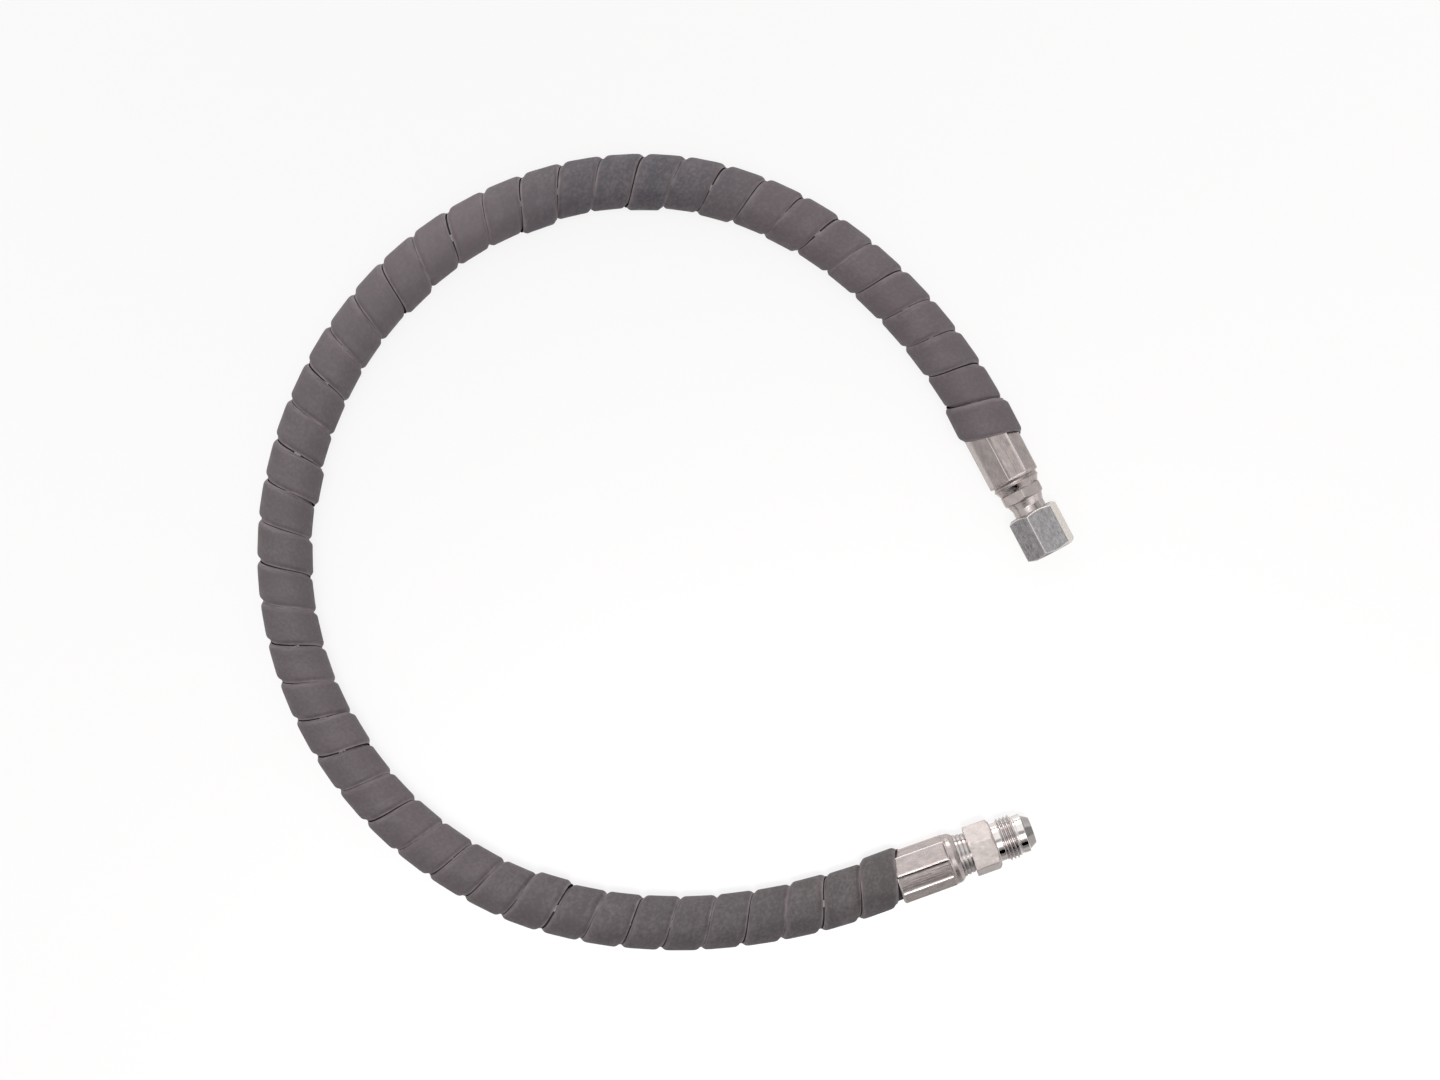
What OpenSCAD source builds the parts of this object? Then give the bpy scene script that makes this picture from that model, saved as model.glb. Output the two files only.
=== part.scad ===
// Hydraulic hose assembly: a two-braid rubber hose in a spiral guard, with a crimped male
// fitting (G 1/2, 60 degree cone) on one end and a crimped swivel nut fitting (3/4-16 UNF,
// 37 degree seat) on the other.
// The hose lies in a C on a flat surface. The origin is on the male thread's axis, at the
// outer end of its last full crest; +X points out of the male fitting and +Z is up.

/* [Hose] */
// Bore of the inner tube
hose_bore = 12.7; // [11:0.1:13.5]
// Thickness of the inner rubber tube
tube_wall = 1.5; // [1.2:0.05:1.8]
// Thickness of each steel wire braid
braid_wall = 0.6; // [0.4:0.05:0.7]
// Thickness of the rubber layer between the braids
cushion_wall = 0.3; // [0.2:0.05:0.5]
// Thickness of the rubber cover
cover_wall = 0.85; // [0.6:0.05:1.1]

/* [Spiral guard] */
// Space between the hose's cover and the guard's turns
guard_play = 0.8; // [0.6:0.1:1.6]
// Thickness of the guard's strip
guard_wall = 1.8; // [1.2:0.1:2.2]
// Number of turns from one end of the strip to the other
guard_turns = 47.75; // [44:0.25:52]
// Space between two turns, along the hose
guard_gap = 0.9; // [0.7:0.1:2]
// Chamfer along the strip's outer edges
guard_chamfer = 1.2; // [0.4:0.1:1.4]
// How far the strip's first end laps over the swivel ferrule
swivel_lap = 11; // [8:0.5:14]
// How far the strip's last end laps over the male ferrule
male_lap = 6.8; // [5:0.1:9]

/* [Crimped ferrules] */
// Thickness of the crimped ferrule under its ridges
ferrule_wall = 2.25; // [1.6:0.05:2.3]
// Depth of the crimp's flats below the ridges
flat_depth = 0.35; // [0.1:0.05:0.5]
// Length of the crimped body
crimp_len = 26.7; // [25.5:0.1:30]
// Depth that the hose goes into the ferrule
hose_insert = 25; // [22:0.5:25.5]
// Number of internal ribs that grip the cover
grip_ribs = 4; // [2:1:4]
// Length of the shoulder behind the male ferrule's body
male_shoulder = 4.4; // [3.8:0.1:6]
// Length of the shoulder behind the swivel ferrule's body
swivel_shoulder = 5.7; // [5:0.1:7]

/* [Nipples] */
// Wall of the hose tail, from its barbs to the fluid passage
tail_wall = 1.35; // [1.1:0.05:2.2]
// Number of barbs on each hose tail
tail_barbs = 5; // [3:1:6]
// How far the neck that the ferrule's lip locks round stands above the tail
lock_rise = 0.95; // [0.6:0.05:1.2]
// How far the flange in front of that lip stands above the lock neck
flange_rise = 0.8; // [0.5:0.05:1]

/* [Male end] */
// Length of the ringed collar between ferrule and hex
collar_len = 5.9; // [5:0.1:9]
// Diameter of the ringed collar at the ferrule
collar_d = 20.6; // [19.4:0.1:21.4]
// How much narrower the collar is at the hex
collar_taper = 1.6; // [0:0.1:2]
// Size across the flats of the male end's hex
male_hex_af = 22; // [21:0.5:24]
// Length of the male end's hex
male_hex_len = 12.4; // [8:0.1:16]
// Length of the relief neck between hex and thread
relief_len = 3.8; // [3:0.1:6]
// Major diameter of the male thread
male_thread_d = 20.955; // [20.655:0.05:21.055]
// Depth of the male thread, and of its relief and nose, below its crests
male_thread_depth = 1.162; // [1.002:0.02:1.202]
// Pitch of the male thread
male_pitch = 1.814; // [1.754:0.01:1.854]
// Number of full crests on the male thread
male_crests = 4; // [3:1:8]
// Length of the plain nose from the last crest to the step before the cone
nose_len = 5; // [4:0.1:8]
// Height of the step from the nose down to the cone
nose_step = 1.2; // [0.6:0.1:1.6]
// Half angle of the nose's sealing cone
nose_angle = 30; // [27:1:37]
// Width of the ring at the cone's end, round the passage
nose_rim = 1.3; // [0.8:0.1:1.8]

/* [Swivel end] */
// Size across the flats of the fixed hex
fixed_hex_af = 19; // [18:0.5:21]
// Length of the fixed hex
fixed_hex_len = 5.2; // [4:0.1:8]
// Distance from the fixed hex to the nut
nut_standoff = 6.5; // [5:0.1:10]
// Diameter of the neck between the fixed hex and the nut
neck_d = 15.6; // [14:0.1:15.9]
// Size across the flats of the swivel nut
nut_hex_af = 22; // [21.5:0.5:24]
// Length of the swivel nut
nut_len = 21.5; // [20:0.1:26]
// Major diameter of the nut's thread
nut_thread_d = 19.05; // [18.9:0.05:19.05]
// Pitch of the nut's thread
nut_pitch = 1.5875; // [1.5:0.0125:1.7]
// Height of the nut's thread, inwards from its major diameter
nut_thread_height = 0.775; // [0.6:0.025:0.85]
// How far the nut's bore behind its thread stands in from the thread's crests
nut_bore_step = 0.25; // [0.15:0.05:0.5]
// Length of the swivel nipple's head, inside the nut
head_len = 8; // [7.5:0.1:9]
// Half angle of the seat in the head
seat_angle = 37; // [30:1:45]
// Diameter of the retaining wire
wire_d = 2; // [1.4:0.1:2.2]
// Distance from the nut's rear face to the retaining wire
wire_setback = 4.8; // [4:0.1:6]

/* [Hidden] */
$fn = 96;

// Clearances
radial_play = 0.1;      // between a tail and the tube, and between a ferrule's ribs and the cover
swivel_play = 0.08;     // between the swivel head and the nut's bore, on the radius
wire_play = 0.08;       // round the retaining wire, on its radius
lip_play = 0.05;        // between a ferrule's lip and the nipple's lock neck, on the radius

// Where the fittings stand. The mouths are where the hose leaves the ferrules.
thread_start = crimp_len + male_shoulder + collar_len + male_hex_len + relief_len;
thread_len = (male_crests - 1) * male_pitch + crest_w(male_pitch);
male_mouth = [-(thread_start + thread_len), 0];
swivel_mouth = male_mouth + [112, 184.5];
swivel_heading = -82;   // degrees from +X, pointing out of the swivel fitting

// The free hose's centre line as distances from the male mouth, between the two straight runs
hose_route = [
    [101, 234], [90, 261], [76, 286], [59, 308], [36, 329], [11, 344], [-18, 354], [-46, 358],
    [-76, 357], [-104, 351], [-131, 340], [-158, 323], [-180, 303], [-198, 281], [-213, 255],
    [-223, 227], [-228, 198], [-228, 169], [-223, 140], [-213, 112], [-199, 87], [-180, 63],
    [-160, 45], [-133, 28], [-106, 16], [-80, 8], [-48, 2]
];
straight_run = 20;      // the hose leaves each ferrule straight for a hose diameter

// Radii of the hose's layers. Its bore's corners stand out so that the flats clear the tails.
sides = 8;
bore_corner_r = hose_bore / 2 / cos(180 / sides);
tube_r = hose_bore / 2 + tube_wall;
inner_braid_r = tube_r + braid_wall;
cushion_r = inner_braid_r + cushion_wall;
outer_braid_r = cushion_r + braid_wall;
hose_r = outer_braid_r + cover_wall;

// Radii of the fittings
tail_r = hose_bore / 2 - radial_play;
passage_r = tail_r - tail_wall;
lock_r = tail_r + lock_rise;
flange_r = lock_r + flange_rise;
crimp_r = hose_r + radial_play + ferrule_wall;
crimp_flats_r = crimp_r - flat_depth;
male_thread_r = male_thread_d / 2;
male_root_r = male_thread_r - male_thread_depth;
nose_tip_r = passage_r + nose_rim;
nut_thread_r = nut_thread_d / 2;
nut_minor_r = nut_thread_r - nut_thread_height;
nut_bore_r = nut_minor_r - nut_bore_step;

// Width of a thread's crest
function crest_w(pitch) = pitch / 4;
function heading(a) = [cos(a), sin(a)];

// ---- The route --------------------------------------------------------------------------

swivel_out = heading(swivel_heading);
male_out = [1, 0];
route = concat(
    [swivel_mouth + swivel_out * hose_insert, swivel_mouth, swivel_mouth - swivel_out * straight_run],
    [for (p = hose_route) male_mouth + p],
    [male_mouth - male_out * straight_run, male_mouth, male_mouth + male_out * hose_insert]
);
last = len(route) - 1;

// Station of each route point: its distance along the route from the swivel mouth
function stations(i = 0, s = -hose_insert) =
    i == last ? [s] : concat([s], stations(i + 1, s + norm(route[i + 1] - route[i])));
station = stations();
hose_len = station[last - 1];           // from mouth to mouth

function unit(v) = v / norm(v);
function slope(i) =
    i == 0 ? unit(route[1] - route[0])
    : i == last ? unit(route[last] - route[last - 1])
    : (route[i + 1] - route[i - 1]) / (station[i + 1] - station[i - 1]);
function span_of(s) = max(0, min(last - 1, len([for (t = station) if (t <= s) t]) - 1));

// The smooth line through the route's points, and its direction
function line_at(s) =
    let (i = span_of(s), d = station[i + 1] - station[i], t = (s - station[i]) / d)
    route[i] * (1 + t * t * (2 * t - 3)) + route[i + 1] * t * t * (3 - 2 * t)
    + slope(i) * d * t * (t - 1) * (t - 1) + slope(i + 1) * d * t * t * (t - 1);
function line_dir(s) =
    let (i = span_of(s), d = station[i + 1] - station[i], t = (s - station[i]) / d)
    unit((route[i + 1] - route[i]) * 6 * t * (1 - t) / d
        + slope(i) * (1 - t) * (1 - 3 * t) + slope(i + 1) * t * (3 * t - 2));

// A point at radius r round the line. Angle 0 is on the C's outer side and 90 is up.
function round_point(centre, dir, r, angle) =
    [centre[0] + dir[1] * r * cos(angle), centre[1] - dir[0] * r * cos(angle), r * sin(angle)];

// ---- The hose's layers ------------------------------------------------------------------

function ring(i, r) = [for (k = [0 : sides - 1]) round_point(route[i], unit(slope(i)), r, k * 360 / sides)];

// Two triangles of the band between points k and k + 1 of two rings that start at a and b, which
// face away from the line where b lies further along it. An inner band faces it, and is cut
// along the same diagonal, so that one layer's inside and the next one's outside are one surface.
function band(a, b, k, n, inner = false) =
    let (m = (k + 1) % n)
    inner ? [[a + k, b + m, b + k], [a + k, a + m, b + m]]
    : [[a + k, b + k, b + m], [a + k, b + m, a + m]];

// One layer of the hose: a tube swept along the route's own points
module hose_layer(inner_r, outer_r) {
    rings = len(route);
    first_inner = rings * sides;
    end = (rings - 1) * sides;
    points = concat(
        [for (i = [0 : rings - 1]) each ring(i, outer_r)],
        [for (i = [0 : rings - 1]) each ring(i, inner_r)]
    );
    faces = concat(
        [for (i = [0 : rings - 2], k = [0 : sides - 1]) each band(i * sides, (i + 1) * sides, k, sides)],
        [for (i = [0 : rings - 2], k = [0 : sides - 1])
            each band(first_inner + i * sides, first_inner + (i + 1) * sides, k, sides, true)],
        [for (k = [0 : sides - 1]) each band(first_inner, 0, k, sides)],
        [for (k = [0 : sides - 1]) each band(end, first_inner + end, k, sides)]
    );
    polyhedron(points, faces, convexity = 10);
}

// Black synthetic rubber that carries the oil
module hose_inner_tube() {
    color("#26252a") hose_layer(bore_corner_r, tube_r);
}

// First braid of high-tensile steel wire
module hose_inner_braid() {
    color("#8f9094") hose_layer(tube_r, inner_braid_r);
}

// Thin rubber layer that keeps the braids apart
module hose_cushion_layer() {
    color("#3a383c") hose_layer(inner_braid_r, cushion_r);
}

// Second braid, wound over the first
module hose_outer_braid() {
    color("#97989c") hose_layer(cushion_r, outer_braid_r);
}

// Black synthetic rubber cover
module hose_cover() {
    color("#2b292c") hose_layer(outer_braid_r, hose_r);
}

// ---- The spiral guard -------------------------------------------------------------------

rings_per_turn = 8;
guard_first_angle = -45;
// The factor that keeps an eight-sided turn's mean radius at the round one's
facet_factor = (PI / rings_per_turn) / sin(180 / rings_per_turn);
guard_inner_r = (hose_r + guard_play) * facet_factor;
guard_t = guard_wall * facet_factor;
// Over a ferrule a turn is opened out, so that its flats clear the ridges. The strip is stiff
// across its width, so it opens and closes along its helix and not along the hose.
ferrule_play = 0.3;     // between the ferrule's ridges and a turn's flats
ferrule_open = (crimp_r + ferrule_play) / cos(180 / rings_per_turn) - guard_inner_r;
ease_before = 4.8;      // a turn begins to open when its edge is this far short of the ferrule
ease_len = 6;           // and is fully open this much further on
guard_reach = hose_len + swivel_lap + male_lap;
guard_pitch = (guard_reach + guard_gap) / (guard_turns + 1);
strip_w = guard_pitch - guard_gap;
guard_rings = round(guard_turns * rings_per_turn) + 1;
// The guard is cut flat where it lies on the floor
floor_cut = 0.5;
floor_z = -(guard_inner_r + guard_t) + floor_cut;

function strip_centre(i) = -swivel_lap + strip_w / 2 + i * guard_pitch / rings_per_turn;
function strip_angle(i) = guard_first_angle + i * 360 / rings_per_turn;
// How far ring i's outer edge laps over the nearer ferrule, and how far that opens the turn there
function lap(i) = max(strip_w / 2 - strip_centre(i), strip_centre(i) + strip_w / 2 - hose_len);
function guard_r(i) = guard_inner_r + ferrule_open * max(0, min(1, (lap(i) + ease_before) / ease_len));

// A point of the strip's ring i, along the hose from the ring's centre and above its inner face
function strip_point(i, along, height) =
    let (s = strip_centre(i) + along)
    round_point(line_at(s), line_dir(s), guard_r(i) + height, strip_angle(i));

// The strip's cross-section as offsets along the hose and heights over its inner face
strip_section = [
    [-strip_w / 2, 0], [strip_w / 2, 0],
    [strip_w / 2, guard_t - guard_chamfer], [strip_w / 2 - guard_chamfer, guard_t],
    [-strip_w / 2 + guard_chamfer, guard_t], [-strip_w / 2, guard_t - guard_chamfer]
];
strip_corners = len(strip_section);
strip_rings = [for (i = [0 : guard_rings - 1])
    [for (c = strip_section) strip_point(i, c[0], c[1])]];

// Distance from point p to the segment from a to b
function segment_gap(p, a, b) =
    let (t = max(0, min(1, ((p - a) * (b - a)) / ((b - a) * (b - a)))))
    norm(p - a - (b - a) * t);

// The least gap between one turn's leading edge and the next turn's trailing edge
guard_self_gap = min([for (i = [rings_per_turn : guard_rings - 2], c = [[1, 0], [2, 5]])
    let (p = strip_rings[i - rings_per_turn][c[0]], q = strip_rings[i][c[1]])
    min(segment_gap(p, q, strip_rings[i + 1][c[1]]), segment_gap(p, strip_rings[i - 1][c[1]], q))]);
echo(str("spiral_guard: least gap to itself ", guard_self_gap, " mm over ", guard_turns, " turns"));

// Plastic strip wound round the hose as one left-handed helix, flat where it lies on the floor
module spiral_guard() {
    room = 500;
    end = (guard_rings - 1) * strip_corners;
    faces = concat(
        [for (i = [0 : guard_rings - 2], k = [0 : strip_corners - 1])
            each band((i + 1) * strip_corners, i * strip_corners, k, strip_corners)],
        [for (k = [1 : strip_corners - 2]) [0, k, k + 1]],
        [for (k = [1 : strip_corners - 2]) [end, end + k + 1, end + k]]
    );
    color("#635c61") intersection() {
        polyhedron([for (r = strip_rings) each r], faces, convexity = 10);
        translate([-room, -room, floor_z]) cube(2 * room);
    }
}

// ---- The fittings -----------------------------------------------------------------------

// Puts children, drawn along +Z from a ferrule's mouth, at one end of the hose
module at_end(mouth, angle) {
    translate([mouth[0], mouth[1], 0]) rotate([0, 0, angle]) rotate([0, 90, 0]) children();
}

// A hex bar with its corners turned down at the ends that are chamfered. Turn is the angle of
// a corner round the axis, from the side towards the top.
module hex_bar(af, z, length, turn, chamfers) {
    corner_r = af / 2 / cos(30);
    face_r = af / 2 * 0.95;
    drop = (corner_r - face_r) * tan(30);
    intersection() {
        translate([0, 0, z]) rotate(90 + turn) cylinder(h = length, r = corner_r, $fn = 6);
        rotate_extrude() polygon([
            [0, z],
            [chamfers[0] ? face_r : corner_r + 1, z],
            [corner_r + 1, z + (chamfers[0] ? drop + tan(30) : 0)],
            [corner_r + 1, z + length - (chamfers[1] ? drop + tan(30) : 0)],
            [chamfers[1] ? face_r : corner_r + 1, z + length],
            [0, z + length]
        ]);
    }
}

tail_start = 2;         // the tail's end, from the ferrule's mouth
barb_depth = 0.45;
plain_start = 1;        // plain tail before the first barb
plain_end = 2;          // and after the last one
lip_len = 3;

// Outline of a hose tail and its lock neck, up to where the ferrule ends
function tail_outline(ferrule_end) =
    let (first = tail_start + plain_start, pitch = (hose_insert - plain_end - first) / tail_barbs)
    concat(
        [[tail_r - barb_depth, tail_start]],
        [for (k = [0 : tail_barbs - 1]) each [
            [tail_r, first + pitch * (k + 0.75)],
            [tail_r - barb_depth, first + pitch * (k + 1)]
        ]],
        [
            [tail_r - barb_depth, hose_insert], [flange_r, hose_insert],
            [flange_r, ferrule_end - lip_len - lip_play],
            [lock_r, ferrule_end - lip_len - lip_play], [lock_r, ferrule_end]
        ]
    );

// Outline of ring-shaped crests, each a flat at crest_r between two flanks down to root_r.
// The flank angle is the one between a flank and the plane square to the axis.
function thread_outline(z, crests, pitch, crest_r, root_r, flank_angle) =
    let (w = crest_w(pitch), flank = abs(crest_r - root_r) * tan(flank_angle))
    [for (k = [0 : crests - 1]) each [
        [root_r, z + k * pitch - flank], [crest_r, z + k * pitch],
        [crest_r, z + k * pitch + w], [root_r, z + k * pitch + w + flank]
    ]];

male_ferrule_end = crimp_len + male_shoulder;
male_hex_start = male_ferrule_end + collar_len;
male_hex_end = male_hex_start + male_hex_len;
nose_end = thread_start + thread_len + nose_len;
nose_step_len = 0.5;
cone_start = nose_end + nose_step_len;
cone_r = male_root_r - nose_step;
male_tip = cone_start + (cone_r - nose_tip_r) / tan(nose_angle);
male_hex_turn = 11.8;

// Turned steel insert: barbed tail, ringed collar, hex, thread and coned nose in one piece
module male_nipple() {
    groove = 0.35;
    third = collar_len / 3;
    start_r = collar_d / 2;
    // How far the collar has narrowed after this share of its length
    function taper(share) = collar_taper / 2 * share;
    color("#b9b6b2") at_end(male_mouth, 0) difference() {
        union() {
            rotate_extrude() polygon(concat(
                [[0, tail_start]],
                tail_outline(male_ferrule_end),
                [
                    [start_r, male_ferrule_end],
                    [start_r - taper(0.27), male_ferrule_end + third * 0.8],
                    [start_r - taper(0.33) - groove, male_ferrule_end + third],
                    [start_r - taper(0.4), male_ferrule_end + third * 1.2],
                    [start_r - taper(0.6), male_ferrule_end + third * 1.8],
                    [start_r - taper(0.67) - groove, male_ferrule_end + third * 2],
                    [start_r - taper(1), male_hex_start],
                    [male_root_r, male_hex_start],
                    [male_root_r, male_hex_end]
                ],
                thread_outline(thread_start, male_crests, male_pitch, male_thread_r, male_root_r, 27.5),
                [[male_root_r, nose_end], [cone_r, cone_start], [nose_tip_r, male_tip], [0, male_tip]]
            ));
            hex_bar(male_hex_af, male_hex_start, male_hex_len, male_hex_turn, [false, true]);
        }
        translate([0, 0, -1]) cylinder(h = male_tip + 2, r = passage_r);
    }
}

// A ferrule: a sleeve crimped on the hose in eight flats, its lip locked in the nipple's neck
module ferrule(shoulder_outline, ferrule_end, turn) {
    flats = 8;
    mouth_round = 0.8;
    rib_r = hose_r + radial_play;
    groove_r = rib_r + 0.6;
    rib_flank = 1;
    first_rib = 3;
    rib_pitch = (hose_insert - first_rib) / grip_ribs;
    pocket_start = hose_insert + 0.3;
    corner_r = crimp_flats_r / cos(180 / flats);
    difference() {
        union() {
            intersection() {
                rotate(90 + turn) cylinder(h = crimp_len, r = corner_r, $fn = flats);
                rotate_extrude() polygon([
                    [0, 0], [crimp_r - mouth_round, 0], [crimp_r, mouth_round],
                    [crimp_r, crimp_len], [0, crimp_len]
                ]);
            }
            // The shoulder starts inside the crimped body
            rotate_extrude() polygon(concat(
                [[0, crimp_len - 1], [shoulder_outline[0][0], crimp_len - 1]],
                shoulder_outline, [[0, ferrule_end]]
            ));
        }
        rotate_extrude() polygon(concat(
            [[0, -1], [rib_r, -1]],
            [for (k = [0 : grip_ribs - 1]) let (z = first_rib + rib_pitch * k) each [
                [rib_r, z], [groove_r, z + rib_flank],
                [groove_r, z + rib_pitch - rib_flank], [rib_r, z + rib_pitch]
            ]],
            [
                [rib_r, pocket_start], [flange_r + radial_play, pocket_start],
                [flange_r + radial_play, ferrule_end - lip_len], [lock_r + lip_play, ferrule_end - lip_len],
                [lock_r + lip_play, ferrule_end + 1], [0, ferrule_end + 1]
            ]
        ));
    }
}

shoulder_step = 0.35;   // from the crimp's flats down to the male end's shoulder
shoulder_rim = 0.3;     // how far that shoulder's end stands over the collar

// Crimped steel sleeve of the male end, with a rounded shoulder
module male_ferrule() {
    shoulder_r = crimp_flats_r - shoulder_step;
    end_r = collar_d / 2 + shoulder_rim;
    color("#aaa6a8") at_end(male_mouth, 0) ferrule([
        [shoulder_r, crimp_len],
        [shoulder_r, crimp_len + male_shoulder * 0.5],
        [(shoulder_r * 2 + end_r) / 3, crimp_len + male_shoulder * 0.78],
        [end_r, male_ferrule_end]
    ], male_ferrule_end, 0);
}

swivel_ferrule_end = crimp_len + swivel_shoulder;
swivel_ridge_turn = 12;
crimp_step = 0.3;       // from the crimp's flats down to the turned steel behind them
groove_depth = 1.3;     // of the turned groove, below the crimp's flats
groove_lead = 0.9;      // from the crimp's end down to the groove's floor
groove_len = 1;         // of the groove's floor
groove_rise = 0.4;      // how far the groove's far side rises again
groove_rise_len = 0.3;  // along the axis, over that rise

// Crimped steel sleeve of the swivel end, with a turned groove behind the crimp
module swivel_ferrule() {
    groove_r = crimp_flats_r - groove_depth;
    groove_end = crimp_len + groove_lead + groove_len;
    color("#a39f9e") at_end(swivel_mouth, swivel_heading) ferrule([
        [crimp_flats_r - crimp_step, crimp_len],
        [groove_r, crimp_len + groove_lead],
        [groove_r, groove_end],
        [groove_r + groove_rise, groove_end + groove_rise_len],
        [fixed_hex_af / 2, swivel_ferrule_end]
    ], swivel_ferrule_end, swivel_ridge_turn);
}

fixed_hex_end = swivel_ferrule_end + fixed_hex_len;
nut_start = fixed_hex_end + nut_standoff;
nut_end = nut_start + nut_len;
wire_z = nut_start + wire_setback;
wire_ring_r = nut_bore_r - swivel_play / 2;
wire_groove_d = wire_d + 2 * wire_play;
wire_sides = 12;
head_r = nut_bore_r - swivel_play;
head_setback = 1;       // from the nut's rear face to the head
head_start = nut_start + head_setback;
head_end = head_start + head_len;
seat_rim = 0.5;         // width of the head's end face, round the seat
seat_mouth_r = head_r - seat_rim;
seat_len = (seat_mouth_r - passage_r) / tan(seat_angle);
fixed_hex_turn = 90;
nut_turn = 48.2;

// Turned steel insert: barbed tail, fixed hex, neck and head, with the seat for a coned fitting
module swivel_nipple() {
    taper_len = 3.4;
    hex_rim = 0.5;
    hex_rim_r = fixed_hex_af / 2 * 0.96;
    color("#b3b0ad") at_end(swivel_mouth, swivel_heading) difference() {
        union() {
            rotate_extrude() polygon(concat(
                [[0, tail_start]],
                tail_outline(swivel_ferrule_end),
                [
                    [neck_d / 2, swivel_ferrule_end],
                    [neck_d / 2, fixed_hex_end - hex_rim],
                    [hex_rim_r, fixed_hex_end - hex_rim],
                    [hex_rim_r, fixed_hex_end],
                    [neck_d / 2, fixed_hex_end + taper_len],
                    [neck_d / 2, head_start - 0.5],
                    [head_r, head_start],
                    [head_r, head_end],
                    [0, head_end]
                ]
            ));
            hex_bar(fixed_hex_af, swivel_ferrule_end, fixed_hex_len, fixed_hex_turn, [false, true]);
        }
        translate([0, 0, -1]) cylinder(h = head_end + 2, r = passage_r);
        rotate_extrude() polygon([
            [0, head_end - seat_len], [passage_r, head_end - seat_len],
            [seat_mouth_r, head_end], [seat_mouth_r, head_end + 1], [0, head_end + 1]
        ]);
        // The groove that the retaining wire runs in
        rotate_extrude() translate([wire_ring_r, wire_z]) circle(d = wire_groove_d, $fn = wire_sides);
    }
}

nut_root_r = nut_thread_r + 0.05;
nut_relief_r = nut_root_r + 0.2;
nut_relief_len = 1;     // from the relief behind the thread to its first crest
nut_relief_start = head_end + 0.6;
nut_thread_start = nut_relief_start + nut_relief_len;
nut_mouth_chamfer = 1;
nut_rear_chamfer = 0.4;
nut_crest_w = crest_w(nut_pitch);
nut_crests = floor((nut_end - nut_mouth_chamfer - nut_thread_start - nut_crest_w) / nut_pitch);
nut_thread_z = nut_end - nut_mouth_chamfer - nut_crest_w - (nut_crests - 1) * nut_pitch;
// The wire's hook goes in through a hole in the flat that faces down
hook_angle = nut_turn - 60;

// Hexagonal swivel nut, threaded from its mouth and held on the head by the wire
module swivel_nut() {
    mouth_r = nut_minor_r + nut_mouth_chamfer * 1.1;
    color("#a9abb3") at_end(swivel_mouth, swivel_heading) difference() {
        hex_bar(nut_hex_af, nut_start, nut_len, nut_turn, [true, true]);
        rotate_extrude() polygon(concat(
            [
                [0, nut_start - 1], [nut_bore_r + nut_rear_chamfer, nut_start - 1],
                [nut_bore_r + nut_rear_chamfer, nut_start], [nut_bore_r, nut_start + nut_rear_chamfer],
                [nut_bore_r, nut_relief_start], [nut_relief_r, nut_relief_start],
                [nut_relief_r, nut_thread_z - nut_relief_len * 0.6]
            ],
            thread_outline(nut_thread_z, nut_crests, nut_pitch, nut_minor_r, nut_root_r, 30),
            [[mouth_r, nut_end], [mouth_r, nut_end + 1], [0, nut_end + 1]]
        ));
        rotate_extrude() translate([wire_ring_r, wire_z]) circle(d = wire_groove_d, $fn = wire_sides);
        translate([0, 0, wire_z]) rotate([0, 90, hook_angle]) cylinder(h = nut_hex_af, d = wire_groove_d);
    }
}

// Open ring of spring wire between the nut and the head, its hooked end in the nut's hole
module thrust_wire() {
    open_angle = 24;
    color("#c9c8c4") at_end(swivel_mouth, swivel_heading) {
        translate([0, 0, wire_z]) rotate(hook_angle) rotate_extrude(angle = 360 - open_angle)
            translate([wire_ring_r, 0]) circle(d = wire_d, $fn = wire_sides);
        translate([0, 0, wire_z]) rotate([0, 90, hook_angle]) translate([0, 0, wire_ring_r])
            cylinder(h = nut_hex_af / 2 - wire_ring_r - 0.5, d = wire_d);
    }
}

hose_inner_tube();
hose_inner_braid();
hose_cushion_layer();
hose_outer_braid();
hose_cover();
spiral_guard();
male_nipple();
male_ferrule();
swivel_nipple();
swivel_ferrule();
swivel_nut();
thrust_wire();
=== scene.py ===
"""Looks of a hydraulic hose assembly: a two-braid rubber pressure hose in a spiral guard, with a
crimped male cone fitting on one end and a crimped swivel nut fitting on the other.

Sizes are in millimetres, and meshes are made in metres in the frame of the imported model. The hose
and its guard follow one line, the route. A fitting is drawn on its own axis: `z` is the distance
from the mouth of its ferrule, outwards, and angles turn from its left side towards the top.
"""

import logging
from collections.abc import Sequence
from dataclasses import dataclass, field
from enum import Enum
from math import acos, asin, cos, hypot, pi, radians, sin, tan
from typing import Protocol

import bpy
import numpy as np
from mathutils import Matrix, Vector


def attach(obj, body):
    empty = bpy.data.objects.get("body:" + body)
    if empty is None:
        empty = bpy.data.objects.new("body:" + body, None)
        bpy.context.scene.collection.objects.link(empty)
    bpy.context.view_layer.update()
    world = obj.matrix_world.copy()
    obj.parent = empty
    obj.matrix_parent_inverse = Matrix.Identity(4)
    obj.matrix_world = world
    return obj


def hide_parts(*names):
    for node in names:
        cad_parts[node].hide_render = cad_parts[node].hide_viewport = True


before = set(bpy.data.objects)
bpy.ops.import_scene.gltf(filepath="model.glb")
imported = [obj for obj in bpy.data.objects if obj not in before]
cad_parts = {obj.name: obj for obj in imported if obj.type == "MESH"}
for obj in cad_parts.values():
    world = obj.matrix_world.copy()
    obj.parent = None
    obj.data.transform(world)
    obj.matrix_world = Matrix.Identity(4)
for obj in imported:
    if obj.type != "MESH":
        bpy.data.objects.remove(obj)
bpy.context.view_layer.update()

log = logging.getLogger("hose_assembly")

MM = 0.001
TURN = 2 * pi
HOSE_BODY, NUT_BODY = "hose_body", "nut_body"
# Height of the table that the guard and the nut rest on
FLOOR_Z = -12.635

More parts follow.
